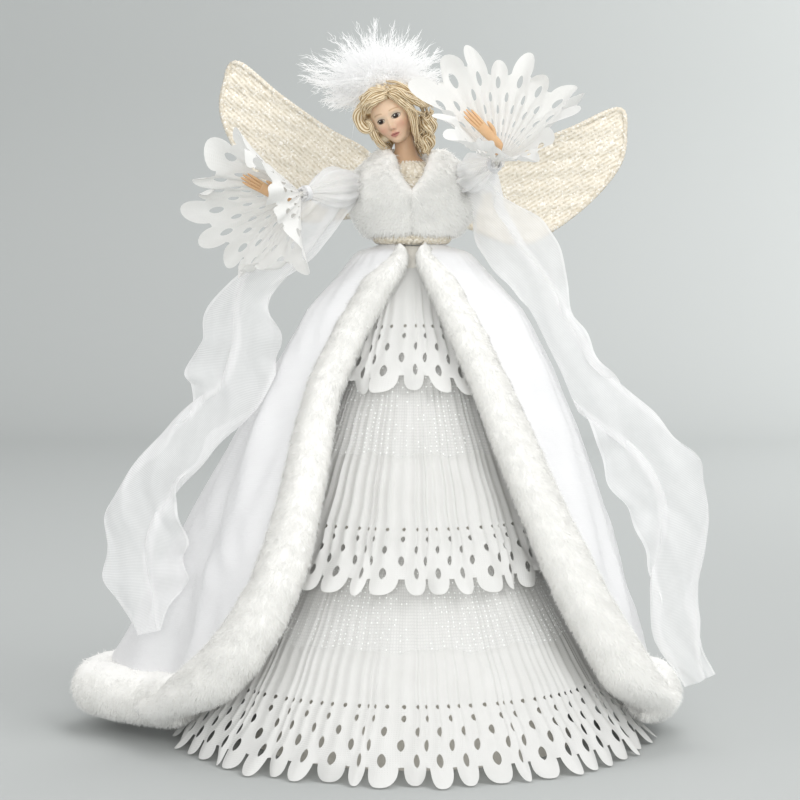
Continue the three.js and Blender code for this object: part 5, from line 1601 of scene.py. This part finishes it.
# %% Bell cuffs
CUFF_PETALS = 16
CUFF_START, CUFF_LENGTH = 3.2, 45.0
CUFF_NECK, CUFF_RADIUS, CUFF_BELL = 2.4, 36.0, 0.9
CUFF_DEPTH = 7.0
CUFF_SLIT = 7.0
CUFF_LOOSE = 4.5


def bell_cuff(name, arm, seed):
    """A bell of eyelet cloth that opens from the wrist, with loose petals."""
    draw = np.random.default_rng(seed)
    slant = float(np.hypot(CUFF_LENGTH - CUFF_START, CUFF_RADIUS - CUFF_NECK))
    depths = draw.uniform(0.5, 1.0, CUFF_PETALS * PLEATS)
    petal_draws = draw.normal(0, 1, (3, CUFF_PETALS))
    ruck = draw.uniform(0, 6, 4)

    def hang(u, v):
        tilt, shift = loose_petals(u, v, CUFF_PETALS, CUFF_SLIT, CUFF_LOOSE, petal_draws)
        share = np.clip(1 - v / slant, 0, 1)
        turn = 2 * np.pi * (u + shift - 0.5) / CUFF_PETALS
        loose = 5.0 * np.sin(3 * turn + ruck[0]) + 4.5 * np.sin(5 * turn + ruck[1])
        ripple = 5.5 * np.sin(3 * turn + ruck[2]) + 4.5 * np.sin(5 * turn + ruck[3])
        radius = CUFF_NECK + (CUFF_RADIUS - CUFF_NECK) * share ** CUFF_BELL + loose * share ** 2
        radius = radius + CUFF_DEPTH * share * pleat_wave(u, v, depths) + tilt
        along = CUFF_START + (CUFF_LENGTH - CUFF_START) * share + ripple * share ** 2
        rim = radius[:, None] * spokes(turn, arm["cuff"])
        return arm["wrist"] + arm["cuff"] * along[:, None] + rim

    made = hung_cloth(f"{name}_eyelet_cuff", f"{name}_arm", CUFF_PETALS, slant, CUFF_SLIT, 1.0, hang)
    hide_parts(f"{name}_cuff")


# %% Hands
# A small cast hand, bent at the wrist: a slim palm, a thumb and four fingers that lie close together.
HAND_FROM, HAND_BEND = 8.3, 5.0
PALM_LENGTH, FINGER_LENGTHS = 16.5, (12.5, 14.5, 14.0, 11.5)
PALM_WIDTHS = [(0, 2.4), (0.3, 2.2), (0.75, 3.0), (1, 2.9)]
PALM_DEPTHS = [(0, 2.3), (0.3, 2.0), (0.75, 1.8), (1, 1.2)]
FINGER_RADIUS = 0.85
FINGER_STEP = 1.42
PALM_ROWS, PALM_SIDES = 40, 32


def hand(name, arm):
    """A cast hand that bends from the cuff's way into its own."""
    start = arm["wrist"] + arm["cuff"] * HAND_FROM
    bend = start + arm["cuff"] * HAND_BEND
    flat = unit(np.cross(arm["hand"], (0, -1.0, 0)))
    curl = np.cross(arm["hand"], flat)
    knuckles = bend + arm["hand"] * PALM_LENGTH
    line = curve([start, bend, (bend + knuckles) / 2, knuckles], PALM_ROWS)
    share = np.linspace(0, 1, PALM_ROWS)
    wide, deep = (np.interp(share, *np.array(table).T)[:, None] for table in (PALM_WIDTHS, PALM_DEPTHS))
    turn = circle(PALM_SIDES)
    across, thick = (wide * np.cos(turn))[..., None] * flat, (deep * np.sin(turn))[..., None] * curl
    palm = (line[:, None] + across + thick).reshape(-1, 3)
    parts = [(palm, capped_faces(PALM_ROWS, PALM_SIDES))]
    for i, length in enumerate(FINGER_LENGTHS):
        aside = FINGER_STEP * (i - 1.5)
        root = knuckles + flat * aside - arm["hand"] * 2
        tip = root + arm["hand"] * length + flat * 0.25 * aside + curl * (1.6 + 0.5 * i)
        joint = (root + tip) / 2 - curl * 0.5
        thick = FINGER_RADIUS * np.sqrt(np.clip(1.02 - np.linspace(0, 1, 24) ** 6, 0.02, 1))
        parts.append(sweep(curve([root, joint, tip], 24), thick, 12))
    foot = bend + arm["hand"] * PALM_LENGTH * 0.3 + flat * 1.2
    thumb = curve([foot, foot + arm["hand"] * 5 + flat * 2.6, foot + arm["hand"] * 10.5 + flat * 3.2], 20)
    parts.append(sweep(thumb, 1.15 * np.sqrt(np.clip(1.04 - np.linspace(0, 1, 20) ** 5, 0.03, 1)), 14))
    points, faces, _ = bundle(parts)
    made = piece(f"{name}_resin_hand", f"{name}_arm", "skin_resin", points, faces, skin_resin)
    tone = brush(np.broadcast_to(skin, points.shape), "#d3a878", np.full(len(points), 0.75))
    paint_on(made, tone)
    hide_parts(f"{name}_hand")


for seed, name in enumerate(ARMS, start=12):
    arm = arm_plan(name)
    sleeve(name, arm, seed)
    wrist_tie(name, arm)
    bell_cuff(name, arm, seed + 2)
    hand(name, arm)
    print(f"{name} arm: reaches {arm['reach']:.0f} mm, cuff {2 * CUFF_RADIUS:.0f} mm across")

# %% [markdown]
# ## Streamers
#
# A long organza scarf hangs from each sleeve to the hem. It is gathered small at the sleeve, opens into soft
# lengthwise folds and narrows at its foot. Its top lies along the arm and the rest stands clear of the coat.

# %% Streamer cloth
STREAMER_HALF = 18.0
STREAMER_FLAT = 70.0
SLEEVE_DROP = 4.0  # the cloth leaves the sleeve this far under its middle
STREAMER_OUT = 5.0  # how far the cloth stands outside its hung line
STREAMER_CLEAR = 6.0  # and off the coat
STREAMER_ROWS, STREAMER_COLUMNS = 150, 60
STREAMERS = {  # radius, angle from the front and height of hung points
    "left": [
        (66, 77, 268), (82, 80, 235), (102, 82, 201), (119, 83, 172), (135, 84, 138), (142, 84, 113),
        (145, 84, 87), (151, 84, 61), (163, 85, 34),
    ],
    "right": [
        (76, 67, 273), (95, 72, 252), (100, 73, 224), (104, 73, 196), (122, 76, 168), (141, 78, 146),
        (150, 79, 117), (151, 79, 89), (147, 78, 66),
    ],
}


def streamer_folds(across, down, phases):
    """How far the cloth lies aside in half widths, stands out and flutters sideways at its edges."""
    roll = 4.8 * across + 2.2 * np.sin(7 * down + phases[0]) + 0.7 * np.sin(19 * down + phases[1])
    aside = across + 0.42 * np.sin(roll)  # the cloth doubles back over itself at each fold
    folds = (
        3.6 * np.cos(roll)
        + 1.5 * np.sin(12 * across + 9 * down + phases[1])
        + 1.6 * np.sin(26 * down - 5 * across + phases[2]) * smooth(down, 0.15, 0.4)
        + 0.8 * np.sin(47 * down + 9 * across + phases[3]) * np.sin(19 * across - 13 * down + phases[0])
    )
    edge = np.sign(across)
    flutter = np.sin(23 * down + phases[3] + edge) + 0.7 * np.sin(41 * down + 2 * edge)
    flutter = flutter + 0.5 * np.sin(67 * down - edge)
    flutter = 2.2 * flutter * np.abs(across) ** 3 * smooth(down, 0.1, 0.3)
    frill = np.sin(58 * down + 3 * edge + phases[2]) + 0.6 * np.sin(93 * down - edge)
    folds = folds + 2.4 * frill * np.abs(across) ** 4 * smooth(down, 0.05, 0.2)
    return aside, folds, flutter


def streamer(name, seed):
    """A scarf from the sleeve to the hem, with folds along it and a crinkled edge."""
    draw = np.random.default_rng(seed)
    arm = arm_plan(name)
    hung = [around(radius, arm["side"] * angle, z) for radius, angle, z in STREAMERS[name]]
    top = arm["shoulder"] + arm["run"] * arm["reach"] / 2 - (0, 0, SLEEVE_DROP)
    line = curve([top, *hung], STREAMER_ROWS)
    share = np.linspace(0, 1, STREAMER_ROWS)
    way = unit(np.gradient(line, axis=0))
    drape = smooth(share, 0.02, 0.24)[:, None]  # the top lies along the arm
    wide = unit(unit(np.cross(way, (0, -1.0, 0))) * drape - arm["side"] * arm["run"] * (1 - drape))
    out = unit(np.cross(wide, way))
    full = 0.72 + 0.38 * smooth(share, 0.22, 0.02) + 0.28 * smooth(share, 0.2, 0.42)
    full = full * (1 - 0.55 * smooth(share, 0.88, 1.0))
    across = np.linspace(-1, 1, STREAMER_COLUMNS)[None]
    phases = draw.uniform(0, 6, 5)
    down = share[:, None]
    aside, folds, flutter = streamer_folds(across, down, phases)
    swing = 4.0 * np.sin(11.0 * share + phases[4]) * smooth(share, 0.1, 0.4)
    swing = swing - arm["side"] * STREAMER_OUT * smooth(share, 0.05, 0.25)
    sideways = aside * (full * STREAMER_HALF)[:, None] + flutter + swing[:, None]
    points = line[:, None] + wide[:, None] * sideways[..., None]
    points = points + out[:, None] * (folds * full[:, None])[..., None]
    radius, angle = polar(points)
    z = points[..., 2]
    inside = (np.abs(angle) > edge_at(arm["side"], z)[0]) & (z < coat_high)
    clear = np.where(inside, coat_radius(angle, z) + STREAMER_CLEAR, 0.0)
    points[..., :2] *= np.maximum(1, clear / radius)[..., None]
    hem = 0.85 * smooth(np.abs(across), 0.93, 0.98) * np.ones_like(down)
    length = float(np.linalg.norm(np.diff(line, axis=0), axis=1).sum())
    uv = np.stack(np.broadcast_arrays(across * STREAMER_FLAT / 2, down * length), -1)
    faces = grid_faces(STREAMER_ROWS, STREAMER_COLUMNS)
    made = piece(f"{name}_organza_streamer", None, "organza", points, faces, organza, uv=uv, shade=hem)
    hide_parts(f"{name}_streamer")
    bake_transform(made)
    print(f"{name} streamer: {length:.0f} mm long")


streamer("left", 16)
streamer("right", 17)

# %% [markdown]
# ## Wings
#
# The wings are stiff lace bound with a pale cord over wire, sewn to a patch on the back. Lace is full of
# knots, so the sheet is triangulated inside its outline and each point stands out by a little of its own.

# %% Lace wings with bound edges
WING_OUTLINE = [  # along the wing and across it, from its root
    (0, 0), (16, 11), (36, 15), (61, 9), (95, 4), (127, 1), (124, -13), (113, -27), (90, -37), (62, -42),
    (38, -40), (15, -16),
]
WING_RISE = {"left": 28, "right": 43}  # degrees
WING_SWEEP = 10  # degrees back
LACE_STEP = 1.3
LACE_THICK = 1.2
PEBBLE = 0.35  # how far the knots stand out
EDGE_POINTS = 140
CORD_RADIUS = 1.7


def inside_outline(grid, edge):
    """Which points of a flat grid lie inside a closed edge, found by counting crossings."""
    inside = np.zeros(len(grid), bool)
    for a, b in zip(edge, np.roll(edge, -1, 0)):
        crosses = (a[2] > grid[:, 1]) != (b[2] > grid[:, 1])
        with np.errstate(divide="ignore", invalid="ignore"):
            at = a[0] + (grid[:, 1] - a[2]) * (b[0] - a[0]) / (b[2] - a[2])
        inside ^= crosses & (grid[:, 0] < at)
    return inside


def wing(name, seed):
    """A stiff lace wing with a bound edge, at its fold joint."""
    draw = np.random.default_rng(seed)
    side = ARMS[name][0]
    root = joints[f"{name}_wing_fold"]
    sweep_back = Matrix.Rotation(math.radians(side * WING_SWEEP), 3, "Z")
    axes = np.array(sweep_back @ Matrix.Rotation(math.radians(-side * WING_RISE[name]), 3, "Y"))

    def placed(points):
        return root + (points * (side, 1, 1)) @ axes.T

    edge = curve([(x, 0, z) for x, z in WING_OUTLINE], EDGE_POINTS, joined=True)[:-1]
    grid = [(x, z) for x in np.arange(-2, 130, LACE_STEP) for z in np.arange(-46, 20, LACE_STEP)]
    grid = np.array(grid) + draw.uniform(-0.3, 0.3, (len(grid), 2))
    flat = [Vector((p[0], p[2])) for p in edge] + [Vector(p) for p in grid[inside_outline(grid, edge)]]
    edges = [(i, (i + 1) % len(edge)) for i in range(len(edge))]
    made, _, triangles, *_ = delaunay_2d_cdt(flat, edges, [], 1, 1e-5)
    xz = np.array([p[:] for p in made])
    pebble = draw.normal(0, PEBBLE, len(xz)) * (np.arange(len(xz)) >= len(edge))
    quill = 0.5 * np.sin(0.55 * (xz[:, 1] + 0.42 * xz[:, 0]))
    calm = smooth(xz[:, 0], 4, 22)  # flat at the root, where the patch is close
    points = placed(np.stack([xz[:, 0], (pebble + quill) * calm, xz[:, 1]], 1))
    faces = [list(t) for t in triangles]
    lace = piece(f"{name}_lace_wing", f"{name}_wing_body", "cream_lace", points, faces, wing_lace, uv=xz)
    thicken(lace, LACE_THICK)
    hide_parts(f"{name}_wing")
    cord_line = placed(np.concatenate([edge, edge[:1]]))
    points, faces, _ = sweep(cord_line, CORD_RADIUS, 16, ridges=8, ridge=0.06, twist=22)
    cord = piece(f"{name}_wing_cord", f"{name}_wing_body", "cream_lace", points, faces, edge_cord)
    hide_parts(f"{name}_wing_wire")
    print(f"{name} wing: {len(triangles)} triangles of lace")


wing("left", 18)
wing("right", 19)

# %% Patch that holds the wings
WING_ROOM = 0.7  # the wings' roots pass this close to the patch's sides
PATCH_SIDES = 64
PATCH_ROWS = [(0.9, -1.0), (0.2, -0.7), (0, 0), (0.2, 0.7), (0.9, 1.0)]  # inset, and share of the depth
CORNER = 3.0
SEAM = 0.88  # share of the outline where the stitches lie
STITCH_RADIUS = 0.28
patch_low, patch_high = box_mm("wing_patch")
middle, half = (patch_low + patch_high) / 2, (patch_high - patch_low) / 2 - (WING_ROOM, 0, 0)
turn = np.linspace(0, 2 * np.pi, PATCH_SIDES, endpoint=False)
ways = np.stack([np.cos(turn), np.sin(turn)], 1)
outline = np.sign(ways) * (half[[0, 2]] - CORNER) + CORNER * ways
rows = []
for inset, depth in PATCH_ROWS:
    across, up = (outline * (1 - inset / half[0])).T
    rows.append(middle + np.stack([across, np.full(PATCH_SIDES, depth * half[1]), up], 1))
parts = [(np.concatenate(rows), capped_faces(len(PATCH_ROWS), PATCH_SIDES))]
for i in range(0, PATCH_SIDES, 2):
    a, b = outline[i] * SEAM, outline[(i + 1) % PATCH_SIDES] * SEAM
    y = middle[1] + half[1]
    stitch = [(p[0], y + out, middle[2] + p[1]) for p, out in ((a, -0.2), ((a + b) / 2, 0.25), (b, -0.2))]
    parts.append(sweep(curve(stitch, 6), STITCH_RADIUS, 6))
points, faces, _ = bundle(parts)
patch = piece("stitched_wing_patch", "doll", "cream_lace", points, faces, cream_lace, weld=0.001)
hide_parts("wing_patch")
print("patch:", len(parts) - 1, "stitches")
